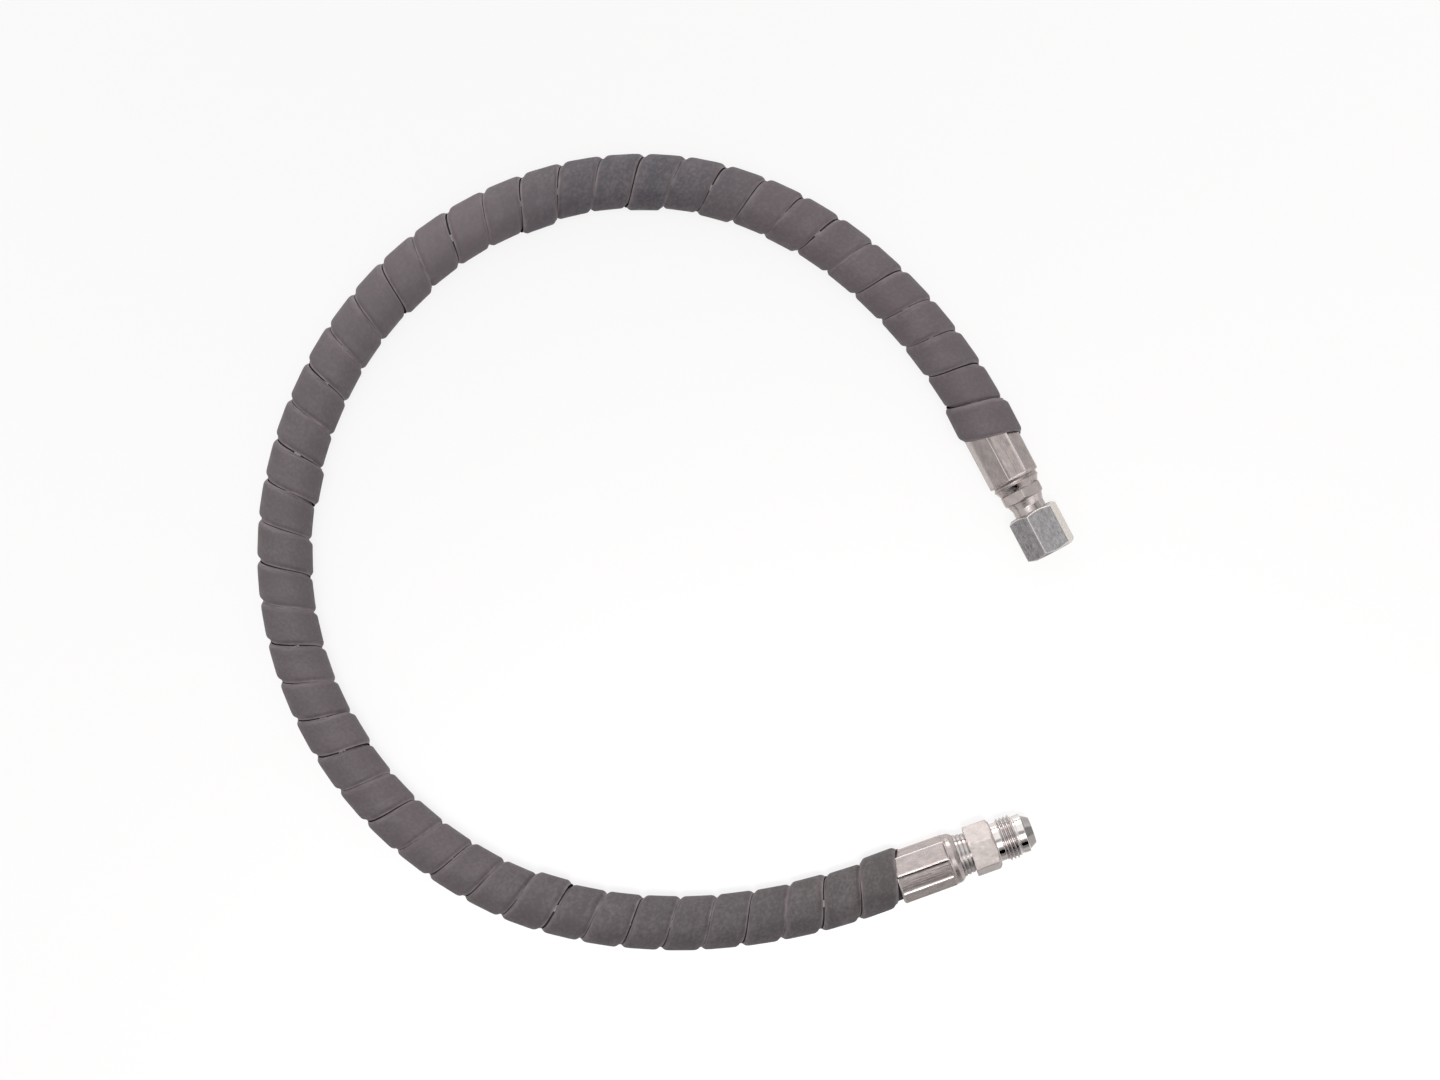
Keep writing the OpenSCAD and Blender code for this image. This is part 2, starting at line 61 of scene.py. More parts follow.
Tree, Node, Socket = bpy.types.NodeTree, bpy.types.Node, bpy.types.NodeSocket
Object, Array = bpy.types.Object, np.ndarray
Faces = list[tuple[int, ...]]

# ---- Small tools ----


def smoothstep(low: float, high: float, value: Array) -> Array:
    """0 below `low`, 1 above `high`, and a smooth rise between them."""
    t = np.clip((np.asarray(value, float) - low) / (high - low), 0.0, 1.0)
    return t * t * (3 - 2 * t)


def soft_min(a: Array, b: Array, sharpness: float) -> Array:
    """The smaller of two radii, with the edge between them rounded by 1 / `sharpness`."""
    return np.minimum(a, b) - np.log1p(np.exp(-sharpness * np.abs(a - b))) / sharpness


def soft_max(a: Array, b: Array, sharpness: float) -> Array:
    """The larger of two radii, with the edge between them rounded."""
    return -soft_min(-np.asarray(a), -np.asarray(b), sharpness)


def linear(hex_colour: str) -> tuple[float, float, float, float]:
    """Turns an sRGB hex colour such as "#8a8f92" into linear RGBA."""
    channels = [int(hex_colour[i:i + 2], 16) / 255 for i in (1, 3, 5)]
    rgb = [c / 12.92 if c <= 0.04045 else ((c + 0.055) / 1.055) ** 2.4 for c in channels]
    return rgb[0], rgb[1], rgb[2], 1.0


def direction(azimuth: float, elevation: float) -> tuple[float, float, float]:
    """Unit vector in a direction given in degrees, its azimuth from +X towards +Y."""
    across, up = radians(azimuth), radians(elevation)
    return cos(up) * cos(across), cos(up) * sin(across), sin(up)


def tube_faces(rows: int, cols: int, ring: bool) -> Faces:
    """Faces of a tube whose points are numbered row by row.

    Args:
        rows: Number of rows.
        cols: Number of points round each row.
        ring: Whether the last row joins the first. If not, each end gets one face.

    Returns:
        Point numbers of each face.
    """
    faces = [
        (i * cols + j, i * cols + (j + 1) % cols,
         (i + 1) % rows * cols + (j + 1) % cols, (i + 1) % rows * cols + j)
        for i in range(rows if ring else rows - 1) for j in range(cols)
    ]
    if not ring:
        first = tuple(range(cols))
        faces += [first[::-1], tuple((rows - 1) * cols + k for k in first)]
    return faces


def facing_out(points: Array, faces: Faces) -> Faces:
    """Turns all faces of a closed mesh over if its signed volume is negative."""
    fans = [(f[0], f[k], f[k + 1]) for f in faces for k in range(1, len(f) - 1)]
    a, b, c = (points[[t[k] for t in fans]] for k in range(3))
    volume = np.einsum("ij,ij->i", a, np.cross(b, c)).sum()
    return [tuple(reversed(f)) for f in faces] if volume < 0 else faces


def link_object(name: str, data: bpy.types.ID) -> Object:
    """Puts a new object with this data in the scene."""
    obj = bpy.data.objects.new(name, data)
    bpy.context.scene.collection.objects.link(obj)
    return obj


# ---- Patterns ----

# Size of a blotch along a coordinate on which the pattern doesn't change
ENDLESS = 500.0


def add_node(
    tree: Tree,
    kind: str,
    settings: dict[str | int, object] | None = None,
    links: dict[str | int, Socket] | None = None,
) -> Node:
    """Adds a node with its settings and links.

    Args:
        tree: The node tree to add it to.
        kind: Blender's name of the node's type after "ShaderNode".
        settings: Properties by name, and input values by socket name or number.
        links: Sockets of other nodes, by the name or number of the input they go into.

    Returns:
        The new node.
    """
    node = tree.nodes.new("ShaderNode" + kind)
    for key, value in (settings or {}).items():
        if isinstance(key, str) and key in node.bl_rna.properties:
            setattr(node, key, value)
        else:
            node.inputs[key].default_value = value
    for key, socket in (links or {}).items():
        tree.links.new(socket, node.inputs[key])
    return node


@dataclass(frozen=True)
class Pattern:
    """The nodes of one material or of the world, with short ways to add the usual ones."""

    tree: Tree
    # Coordinates in metres that the pattern is drawn on
    place: Socket | None = None

    def math(self, operation: str, *values: Socket | float, clamp: bool = False) -> Socket:
        """The outcome of one operation.

        Args:
            operation: Blender's name of it.
            values: Its inputs, each a number or a socket.
            clamp: Whether the outcome is held between 0 and 1.

        Returns:
            The socket that carries the outcome.
        """
        settings, links = {"operation": operation, "use_clamp": clamp}, {}
        for i, value in enumerate(values):
            (settings if isinstance(value, float) else links)[i] = value
        return add_node(self.tree, "Math", settings, links).outputs[0]

    def spread(self, value: Socket, low: float, high: float, start: float = 0.0,
               stop: float = 1.0, curve: str = "LINEAR") -> Socket:
        """Maps what lies between `start` and `stop` to between `low` and `high`, and no further."""
        ends = {"From Min": start, "From Max": stop, "To Min": low, "To Max": high}
        node = add_node(self.tree, "MapRange", {"interpolation_type": curve, **ends}, {"Value": value})
        return node.outputs[0]

    def noise(self, size: float | tuple[float, float, float], low: float = 0.0, high: float = 1.0,
              detail: float = 2.0) -> Socket:
        """A noise whose blotches have a real size.

        Args:
            size: Size of a blotch along each coordinate or along all, in millimetres.
            low: Value in its troughs.
            high: Value on its crests.
            detail: Octaves of finer noise.

        Returns:
            The socket that carries the value.
        """
        scale = [1 / (s * MM) for s in (size if isinstance(size, tuple) else (size,) * 3)]
        place = add_node(self.tree, "Mapping", {"Scale": scale}, {"Vector": self.place}).outputs[0]
        noise = add_node(self.tree, "TexNoise", {"Scale": 1.0, "Detail": detail}, {"Vector": place})
        return self.spread(noise.outputs[0], low, high, 0.3, 0.7)

    def waves(self, way: str, width: float, place: Socket | None = None, **more: object) -> Socket:
        """Bands square to `way`, one every `width` millimetres."""
        settings = {"wave_type": "BANDS", "bands_direction": way, "Scale": TURN / 20 / (width * MM)}
        vector = self.place if place is None else place
        node = add_node(self.tree, "TexWave", {**settings, **more}, {"Vector": vector})
        return node.outputs["Fac"]

    def mix(self, share: Socket, first: str | Socket, second: str) -> Socket:
        """Mixes from the first colour, a hex value or a socket, to the second by `share`."""
        settings, links = {"data_type": "RGBA", 7: linear(second)}, {0: share}
        if isinstance(first, str):
            settings[6] = linear(first)
        else:
            links[6] = first
        return add_node(self.tree, "Mix", settings, links).outputs[2]

    def wear(self) -> Socket:
        """How worn the surface is, from 0 to 1."""
        return add_node(self.tree, "Attribute", {"attribute_name": "wear"}).outputs["Fac"]

    def bump(self, *layers: tuple[Socket, float]) -> Socket:
        """A normal bent by heights from 0 to 1, each with its real depth in millimetres."""
        normal = {}
        for height, depth in layers:
            settings = {"Strength": 1.0, "Distance": depth * MM}
            node = add_node(self.tree, "Bump", settings, {"Height": height, **normal})
            normal = {"Normal": node.outputs[0]}
        return normal["Normal"]


# ---- Finishes ----

# Sockets by the name of the shader's input that each goes into
Inputs = dict[str, Socket]


@dataclass(frozen=True)
class Finish:
    """A surface finish. A subclass draws its pattern in `paint`."""

    name: str
    base: str
    roughness: float
    metallic: float = 0.0
    ior: float = 1.5

    def material(self) -> bpy.types.Material:
        """The Blender material, made on first use."""
        found = bpy.data.materials.get(self.name)
        if found:
            return found
        made = bpy.data.materials.new(self.name)
        made.use_nodes = True
        made.diffuse_color = linear(self.base)
        tree = made.node_tree
        tree.nodes.clear()
        bench = add_node(tree, "Attribute", {"attribute_name": "bench"}).outputs["Vector"]
        settings = {"Base Color": linear(self.base), "Roughness": self.roughness,
                    "Metallic": self.metallic, "IOR": self.ior}
        shader = add_node(tree, "BsdfPrincipled", settings, self.paint(Pattern(tree, bench)))
        add_node(tree, "OutputMaterial", links={"Surface": shader.outputs[0]})
        return made

    def paint(self, p: Pattern) -> Inputs:
        """Draws the finish's pattern.

        Args:
            p: The material's pattern, on the piece's own coordinates.

        Returns:
            What goes into the shader.
        """
        raise NotImplementedError

    def rough(self, p: Pattern, size: float | tuple[float, float, float], less: float,
              more: float, detail: float = 2.0) -> Socket:
        """The roughness, which drifts by these amounts over blotches of this size."""
        return p.noise(size, self.roughness - less, self.roughness + more, detail)


@dataclass(frozen=True)
class ExtrudedPolyethylene(Finish):
    """High-density polyethylene (HDPE), extruded as a flat strip and wound while warm.

    It gives a matt, slightly waxy dark grey with a fine grain, whose tone drifts along the hose
    with the dose of pigment, faint lines along the strip from the die, and paler, scuffed edges.
    The bench coordinates are the distances along the strip, across it and along the hose.
    """

    light: str = "#71686b"
    worn: str = "#8f8588"
    grain: float = 0.35
    speckle: float = 1.5
    die_line: float = 0.6
    # Stations along the hose with the grey's tone there, and the length that they're shares of
    tones: tuple[tuple[float, str], ...] = (
        (0, "#61585b"), (150, "#5f555a"), (200, "#4c4950"), (240, "#504c52"), (290, "#685f63"),
        (400, "#5f575a"), (640, "#60575a"), (740, "#524c4e"), (860, "#504b4c"),
    )
    tone_reach: float = 900.0

    def paint(self, p: Pattern) -> Inputs:
        """Mottles the grey, pales the edges and adds grain, die lines and scuffs."""
        axes = add_node(p.tree, "SeparateXYZ", links={0: p.place}).outputs
        along = p.spread(axes["Z"], 0.0, 1.0, 0.0, self.tone_reach * MM)
        ramp = add_node(p.tree, "ValToRGB", links={0: along})
        stops = ramp.color_ramp.elements
        for station, _ in self.tones[1:-1]:
            stops.new(station / self.tone_reach)
        for stop, (station, tone) in zip(stops, self.tones):
            stop.position, stop.color = station / self.tone_reach, linear(tone)
        blotch = p.noise((24, 9, 60), -0.1, 0.3)
        speckle = p.noise((self.speckle, self.speckle, ENDLESS), -0.3, 0.45, 3.0)
        toned = p.mix(p.math("ADD", blotch, speckle, clamp=True), ramp.outputs[0], self.light)
        scuffs = p.math("MULTIPLY", p.wear(), p.noise((7, 1.5, 30), 0.1, 0.9, 3.0))
        grain = p.noise((self.grain, self.grain, ENDLESS), detail=1.0)
        lines = p.noise((40, self.die_line, ENDLESS), detail=1.0)
        dents = p.noise((9, 6, ENDLESS), detail=1.0)
        return {
            "Base Color": p.mix(scuffs, toned, self.worn),
            "Roughness": self.rough(p, (14, 5, 60), 0.07, 0.07),
            "Normal": p.bump((grain, 0.02), (lines, 0.02), (dents, 0.12)),
        }


@dataclass(frozen=True)
class WrappedRubber(Finish):
    """Synthetic rubber (NBR/PVC), cured under a wet nylon wrap that is then pulled off.

    It gives a dull black with the cloth's weave pressed into it, a step every wrap, and a plain
    broken white line along the top, which shows between the guard's turns. The bench coordinates
    are the distance along the hose and the distance round it.
    """

    light: str = "#3a373a"
    thread: float = 1.1
    wrap: float = 38.0
    line_colour: str = "#e4e3df"
    line_place: float = 16.6
    line_w: float = 3.2
    dash: float = 5.3

    def paint(self, p: Pattern) -> Inputs:
        """Presses the weave and the wrap's edges into the cover, dusts it and prints the line."""
        black = p.mix(p.noise((12, 7, ENDLESS), detail=3.0), self.base, self.light)
        weave = p.math("MULTIPLY", *(p.waves(way, self.thread, Distortion=0.4) for way in "XY"))
        edges = p.waves("DIAGONAL", self.wrap, wave_profile="SAW")
        return {
            "Base Color": p.mix(self.line_share(p), black, self.line_colour),
            "Roughness": self.rough(p, (6, 4, ENDLESS), 0.08, 0.1),
            "Normal": p.bump((weave, 0.08), (edges, 0.15)),
        }

    def line_share(self, p: Pattern) -> Socket:
        """Where the white line is: within its width round the hose, and on a dash along it."""
        axes = add_node(p.tree, "SeparateXYZ", links={0: p.place}).outputs
        within = p.math("COMPARE", axes["Y"], self.line_place * MM, self.line_w / 2 * MM)
        cycle = p.math("PINGPONG", axes["X"], self.dash * MM)
        return p.math("MULTIPLY", within, p.math("GREATER_THAN", cycle, self.dash / 2 * MM))


@dataclass(frozen=True)
class SmoothRubber(Finish):
    """Extruded nitrile rubber (NBR), which is smooth, black and slightly satin."""

    light: str = "#2e2c2f"

    def paint(self, p: Pattern) -> Inputs:
        """Adds a faint bloom and the extruder's lines."""
        return {
            "Base Color": p.mix(p.noise((9, 5, ENDLESS)), self.base, self.light),
            "Normal": p.bump((p.noise((60, 0.4, ENDLESS)), 0.02)),
        }


@dataclass(frozen=True)
class BraidedWire(Finish):
    """Brass-coated high-tensile steel wire, braided in flat bundles at about 54 degrees.

    It gives a warm grey metal with two crossing sets of ridges. The bench coordinates are the
    distance along the hose and the distance round it.
    """

    brass: str = "#a8946c"
    bundle: float = 3.2
    lean: float = 54.0

    def paint(self, p: Pattern) -> Inputs:
        """Crosses two sets of bundles and tints them with brass."""
        sets = []
        for lean in (self.lean, -self.lean):
            turned = add_node(p.tree, "Mapping", {"Rotation": (0, 0, radians(lean))}, {"Vector": p.place})
            sets.append(p.waves("X", self.bundle, turned.outputs[0]))
        return {
            "Base Color": p.mix(p.noise((8, 3, ENDLESS), 0.0, 0.8), self.base, self.brass),
            "Normal": p.bump((p.math("MAXIMUM", *sets), 0.25)),
        }


@dataclass(frozen=True)
class TurnedZinc(Finish):
    """Free-cutting steel, turned and then zinc plated with a clear passivate.

    It gives a bright, slightly warm metal with fine rings round the axis from the tool, and a
    darker one where a film of oil has dried on it.
    """

    straw: str = "#e4d9d6"
    oiled: str | None = None
    ring: float = 0.14
    cloud: float = 5.0

    def paint(self, p: Pattern) -> Inputs:
        """Clouds the plating, adds the tool's rings and lays on the oil."""
        colour = p.mix(p.noise(self.cloud, detail=3.0), self.base, self.straw)
        if self.oiled:
            colour = p.mix(p.wear(), colour, self.oiled)
        return {
            "Base Color": colour,
            "Roughness": self.rough(p, (6, 6, 0.5), 0.05, 0.09),
            "Normal": p.bump((p.noise((9, 9, self.ring)), 0.006), (p.noise(1.6, detail=1.0), 0.012)),
        }


@dataclass(frozen=True)
class CrimpedZinc(Finish):
    """Zinc plated steel sleeve, squeezed onto the hose between polished dies.

    It gives a satin grey with fine streaks along the axis where the dies slid, clouded plating,
    and ridges that they left pale and polished.
    """

    straw: str = "#cbbdba"
    dull: str = "#8b8886"
    rubbed: str = "#ddd5d2"
    streak: float = 0.55
    polish: float = 0.16

    def paint(self, p: Pattern) -> Inputs:
        """Clouds the plating, draws the dies' streaks and polishes the ridges."""
        wear = p.wear()
        tinted = p.mix(p.noise((5, 5, 9), detail=4.0), self.base, self.straw)
        kept = p.math("SUBTRACT", p.noise((2.4, 2.4, 3.5), 0.0, 0.5, 4.0), wear, clamp=True)
        streaks = p.noise((self.streak, self.streak, 22), detail=3.0)
        rough = p.spread(streaks, self.roughness - 0.08, self.roughness + 0.1)
        return {
            "Base Color": p.mix(wear, p.mix(kept, tinted, self.dull), self.rubbed),
            "Roughness": p.math("MULTIPLY_ADD", wear, -self.polish, rough),
            "Normal": p.bump((streaks, 0.012), (p.noise((2.2, 2.2, 5)), 0.03)),
        }


@dataclass(frozen=True)
class ForgedZinc(Finish):
    """Hot-forged steel hexagon, shot-blasted before it is zinc plated.

    It gives an even, sand-like pale grey that spreads every reflection.
    """

    shade: str = "#c2b9b6"
    grit: float = 0.28

    def paint(self, p: Pattern) -> Inputs:
        """Adds the blast's pits and soft clouds."""
        return {
            "Base Color": p.mix(p.noise(4, detail=4.0), self.base, self.shade),
            "Roughness": self.rough(p, 1.2, 0.06, 0.08),
            "Normal": p.bump((p.noise(self.grit), 0.022), (p.noise(2.5, detail=1.0), 0.05)),
        }


@dataclass(frozen=True)
class DrawnZinc(Finish):
    """Cold-drawn steel hexagon bar, zinc plated with a blue passivate.

    It gives blue-grey faces, mottled where the passivate pooled, with faint lines along the bar,
    pale corners where wrenches have rubbed it, and a painted highlight: two opposite faces painted near
    white for the light that they mirror.
    """

    pale: str = "#c6c3c6"
    deep: str = "#8b8991"
    # Near white, for the worn corners and for the painted highlight on two faces of the nut
    rubbed: str = "#fbf5ec"
    spot: float = 3.2

    def paint(self, p: Pattern) -> Inputs:
        """Mottles the blue-grey, adds the die's lines, whitens the worn corners and paints the highlight
        on two faces.
        """
        blue = p.mix(p.noise(self.spot, detail=4.0), self.base, self.pale)
        spots = p.math("MAXIMUM", p.noise((1.3, 1.3, 1.8), -0.35, 0.5, 3.0), 0.0)
        lines, dents = p.noise((0.35, 0.35, 16)), p.noise((2, 2, 3))
        return {
            "Base Color": p.mix(p.wear(), p.mix(spots, blue, self.deep), self.rubbed),
            "Roughness": self.rough(p, (1.8, 1.8, 4), 0.08, 0.1, 3.0),
            "Normal": p.bump((lines, 0.008), (dents, 0.03)),
        }


@dataclass(frozen=True)
class SpringSteel(Finish):
    """Hard-drawn spring wire, which is bright with fine lines along it."""

    def paint(self, p: Pattern) -> Inputs:
        """Adds the drawing lines."""
        return {"Roughness": self.rough(p, 0.3, 0.05, 0.1)}


GUARD_PLASTIC = ExtrudedPolyethylene("extruded_polyethylene", "#5f575a", 0.6, ior=1.54)
COVER_RUBBER = WrappedRubber("wrapped_rubber", "#262426", 0.72, ior=1.52)
TUBE_RUBBER = SmoothRubber("smooth_rubber", "#1c1b1d", 0.5, ior=1.52)
BRAID_WIRE = BraidedWire("braided_wire", "#9b9790", 0.38, metallic=1.0)
TURNED_STEEL = TurnedZinc("turned_zinc", "#eceaea", 0.14, metallic=1.0, oiled="#8f8b8a")
SWIVEL_STEEL = TurnedZinc("turned_zinc_satin", "#b9b2af", 0.2, metallic=1.0)
CRIMPED_STEEL = CrimpedZinc("crimped_zinc", "#c1b8b7", 0.28, metallic=1.0)
FORGED_STEEL = ForgedZinc("forged_zinc", "#d3cac7", 0.46, metallic=1.0)
DRAWN_STEEL = DrawnZinc("drawn_zinc", "#bdbabd", 0.24, metallic=1.0)
SPRING_STEEL = SpringSteel("spring_steel", "#b8b6b2", 0.3, metallic=1.0)


# ---- Pieces ----


@dataclass
class Piece:
    """One mesh of the object, with what it rides on and what it stands for."""

    name: str
    body: str
    slot: str
    replaces: tuple[str, ...]
    finishes: tuple[Finish, ...]

    def build(self, points: Array, faces: Faces, bench: Array,
              wear: Array | None = None, finish_of_face: Array | None = None) -> Object:
        """Makes the mesh, dresses it and puts it on its body.

        Args:
            points: Places in the row frame, in millimetres, on the array's last axis.
            faces: Point numbers of each face.
            bench: The piece's own coordinates of each point, in millimetres, in the same way.
            wear: From 0 to 1, how worn the surface is at each point.
            finish_of_face: Number of the finish on each face.

        Returns:
            The new object.
        """
        points = points.reshape(-1, 3)
        mesh = bpy.data.meshes.new(self.name)
        mesh.from_pydata((points * MM).tolist(), [], facing_out(points, faces))
        wear = np.zeros(len(points)) if wear is None else wear
        for name, kind, key, values in (
            ("bench", "FLOAT_VECTOR", "vector", bench * MM), ("wear", "FLOAT", "value", wear),
        ):
            data = mesh.attributes.new(name, kind, "POINT").data
            data.foreach_set(key, values.astype(np.float32).ravel())
        for finish in self.finishes:
            mesh.materials.append(finish.material())
        if finish_of_face is not None:
            mesh.polygons.foreach_set("material_index", finish_of_face.astype(np.int32))
        mesh.shade_smooth()
        mesh.validate()
        obj = link_object(self.name, mesh)
        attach(obj, self.body)
        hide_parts(*self.replaces)
        log.info("%s: %d points, %d faces, rides on %s", self.name, len(points), len(faces), self.body)
        return obj


# ---- The route ----


@dataclass(frozen=True)
class End:
    """One end of the hose: the mouth of its ferrule, and which way its fitting points."""

    mouth: tuple[float, float]
    heading: float

    @property
    def out(self) -> Array:
        """Direction out of the fitting, in plan."""
        return np.array([cos(radians(self.heading)), sin(radians(self.heading))])

    def place(self, bench: Array) -> Array:
        """Places of points given by their distances to the left, up and along the fitting."""
        left, up, z = np.moveaxis(bench, -1, 0)
        out = self.out
        side = np.array([-out[1], out[0]])
        plan = np.array(self.mouth) + left[..., None] * side + z[..., None] * out
        return np.concatenate([plan, up[..., None]], axis=-1)


MALE_END = End(mouth=(-59.0955, 0.0), heading=0.0)
SWIVEL_END = End(mouth=(MALE_END.mouth[0] + 112.0, 184.5), heading=-82.0)

# The hose's own points as distances from the male mouth, between the straight runs at its two ends
HOSE_POINTS = (
    (101, 234), (90, 261), (76, 286), (59, 308), (36, 329), (11, 344), (-18, 354), (-46, 358),
    (-76, 357), (-104, 351), (-131, 340), (-158, 323), (-180, 303), (-198, 281), (-213, 255),
    (-223, 227), (-228, 198), (-228, 169), (-223, 140), (-213, 112), (-199, 87), (-180, 63),
    (-160, 45), (-133, 28), (-106, 16), (-80, 8), (-48, 2),
)
# Length of the hose in each ferrule, and of its straight run behind it
HOSE_INSERT, STRAIGHT_RUN = 25.0, 20.0


@dataclass
class Route:
    """The centre line of the hose, a smooth line through chosen points.

    Stations are distances along it from the swivel ferrule's mouth.
    """

    points: Array = field(init=False)
    stations: Array = field(init=False)
    slopes: Array = field(init=False)

    def __post_init__(self) -> None:
        """Works out the line's points, stations and slopes."""
        a, b = np.array(SWIVEL_END.mouth), np.array(MALE_END.mouth)
        first = [a + SWIVEL_END.out * HOSE_INSERT, a, a - SWIVEL_END.out * STRAIGHT_RUN]
        final = [b - MALE_END.out * STRAIGHT_RUN, b, b + MALE_END.out * HOSE_INSERT]
        p = np.array([*first, *(b + np.array(HOSE_POINTS, float)), *final], float)
        s = np.concatenate([[0], np.cumsum(np.linalg.norm(np.diff(p, axis=0), axis=1))]) - HOSE_INSERT
        m = np.empty_like(p)
        m[1:-1] = (p[2:] - p[:-2]) / (s[2:] - s[:-2])[:, None]
        m[0], m[-1] = (p[1] - p[0]) / (s[1] - s[0]), (p[-1] - p[-2]) / (s[-1] - s[-2])
        self.points, self.stations, self.slopes = p, s, m

    @property
    def length(self) -> float:
        """Length of the free hose, from mouth to mouth."""
        return float(self.stations[-2])

    def at(self, station: Array) -> tuple[Array, Array]:
        """Places on the line and unit directions along it, in plan.

        Args:
            station: Stations, in an array of any shape.

        Returns:
            Places and directions, each with one more axis of two.
        """
        s = np.asarray(station, float)
        i = np.clip(np.searchsorted(self.stations, s, side="right") - 1, 0, len(self.stations) - 2)
        d = (self.stations[i + 1] - self.stations[i])[..., None]
        t = (s - self.stations[i])[..., None] / d
        p, q, m, n = self.points[i], self.points[i + 1], self.slopes[i], self.slopes[i + 1]
        place = p * (1 + t * t * (2 * t - 3)) + q * t * t * (3 - 2 * t)
        place = place + m * d * t * (t - 1) ** 2 + n * d * t * t * (t - 1)
        run = (q - p) * 6 * t * (1 - t) / d + m * (1 - t) * (1 - 3 * t) + n * t * (3 * t - 2)
        return place, run / np.linalg.norm(run, axis=-1, keepdims=True)

    def bend(self, station: Array, reach: float = 14.0) -> Array:
        """Curvature in radians per millimetre, averaged over `reach` each way."""
        before, after = self.at(station - reach)[1], self.at(station + reach)[1]
        cross = before[..., 0] * after[..., 1] - before[..., 1] * after[..., 0]
        return np.arcsin(np.clip(cross, -1, 1)) / (2 * reach)

    def around(self, station: Array, radius: Array, angle: Array) -> Array:
        """Points round the line. Angle 0 is on the C's outer side, and a quarter turn is up."""
        place, way = self.at(station)
        side = np.stack([way[..., 1], -way[..., 0]], axis=-1)
        plan = place + side * (radius * np.cos(angle))[..., None]
        return np.concatenate([plan, (radius * np.sin(angle))[..., None]], axis=-1)


# ---- The hose ----


@dataclass(frozen=True)
class Layer:
    """One layer of the hose's wall."""

    name: str
    node: str
    slot: str
    outer_r: float
    finish: Finish
    sides: int = 32


# From the cover inwards
LAYERS = (
    Layer("hose_cover_rubber", "hose_cover", "cover_rubber", 10.2, COVER_RUBBER, 48),
    Layer("hose_outer_wire", "hose_outer_braid", "braid_wire", 9.35, BRAID_WIRE),
    Layer("hose_cushion_rubber", "hose_cushion_layer", "tube_rubber", 8.75, TUBE_RUBBER),
    Layer("hose_inner_wire", "hose_inner_braid", "braid_wire", 8.45, BRAID_WIRE),
    Layer("hose_tube_rubber", "hose_inner_tube", "tube_rubber", 7.85, TUBE_RUBBER),
)
HOSE_BORE_R = 6.36


@dataclass
class Hose:
    """The two-braid hose: a rubber tube, two steel braids with rubber between them, and a cover."""

    route: Route
    ring_step: float = 4.0

    def ring_stations(self) -> Array:
        """Stations of the rings, from the hose's one end to the other."""
        low, high = self.route.stations[0], self.route.stations[-1]
        return np.linspace(low, high, round((high - low) / self.ring_step) + 1)

    def build_layer(self, layer: Layer, inner_r: float) -> Object:
        """Makes one layer as a tube with two walls and two end faces."""
        s = self.ring_stations()
        station = np.concatenate([s, s[::-1]])
        angle = np.arange(layer.sides) / layer.sides * TURN
        grid_s, grid_a = np.meshgrid(station, angle, indexing="ij")
        grid_r = np.repeat(np.repeat([layer.outer_r, inner_r], len(s))[:, None], layer.sides, axis=1)
        bench = np.stack([grid_s, grid_a * grid_r, grid_r], axis=-1)
        piece = Piece(layer.name, HOSE_BODY, layer.slot, (layer.node,), (layer.finish,))
        faces = tube_faces(len(station), layer.sides, True)
        return piece.build(self.route.around(grid_s, grid_r, grid_a), faces, bench)

    def build(self) -> list[Object]:
        """Makes every layer, the cover first."""
        inner = [*(layer.outer_r for layer in LAYERS[1:]), HOSE_BORE_R]
        return [self.build_layer(layer, r) for layer, r in zip(LAYERS, inner)]

    def declare(self, cover: Object, on_it: Sequence[Object]) -> None:
        """Args:
            cover: The cover's mesh. Not used.
            on_it: The other layers and the guard. Not used.
        """
        s = self.ring_stations()
        line = np.concatenate([self.route.at(s)[0], np.zeros((len(s), 1))], axis=1) * MM


# ---- The spiral guard ----


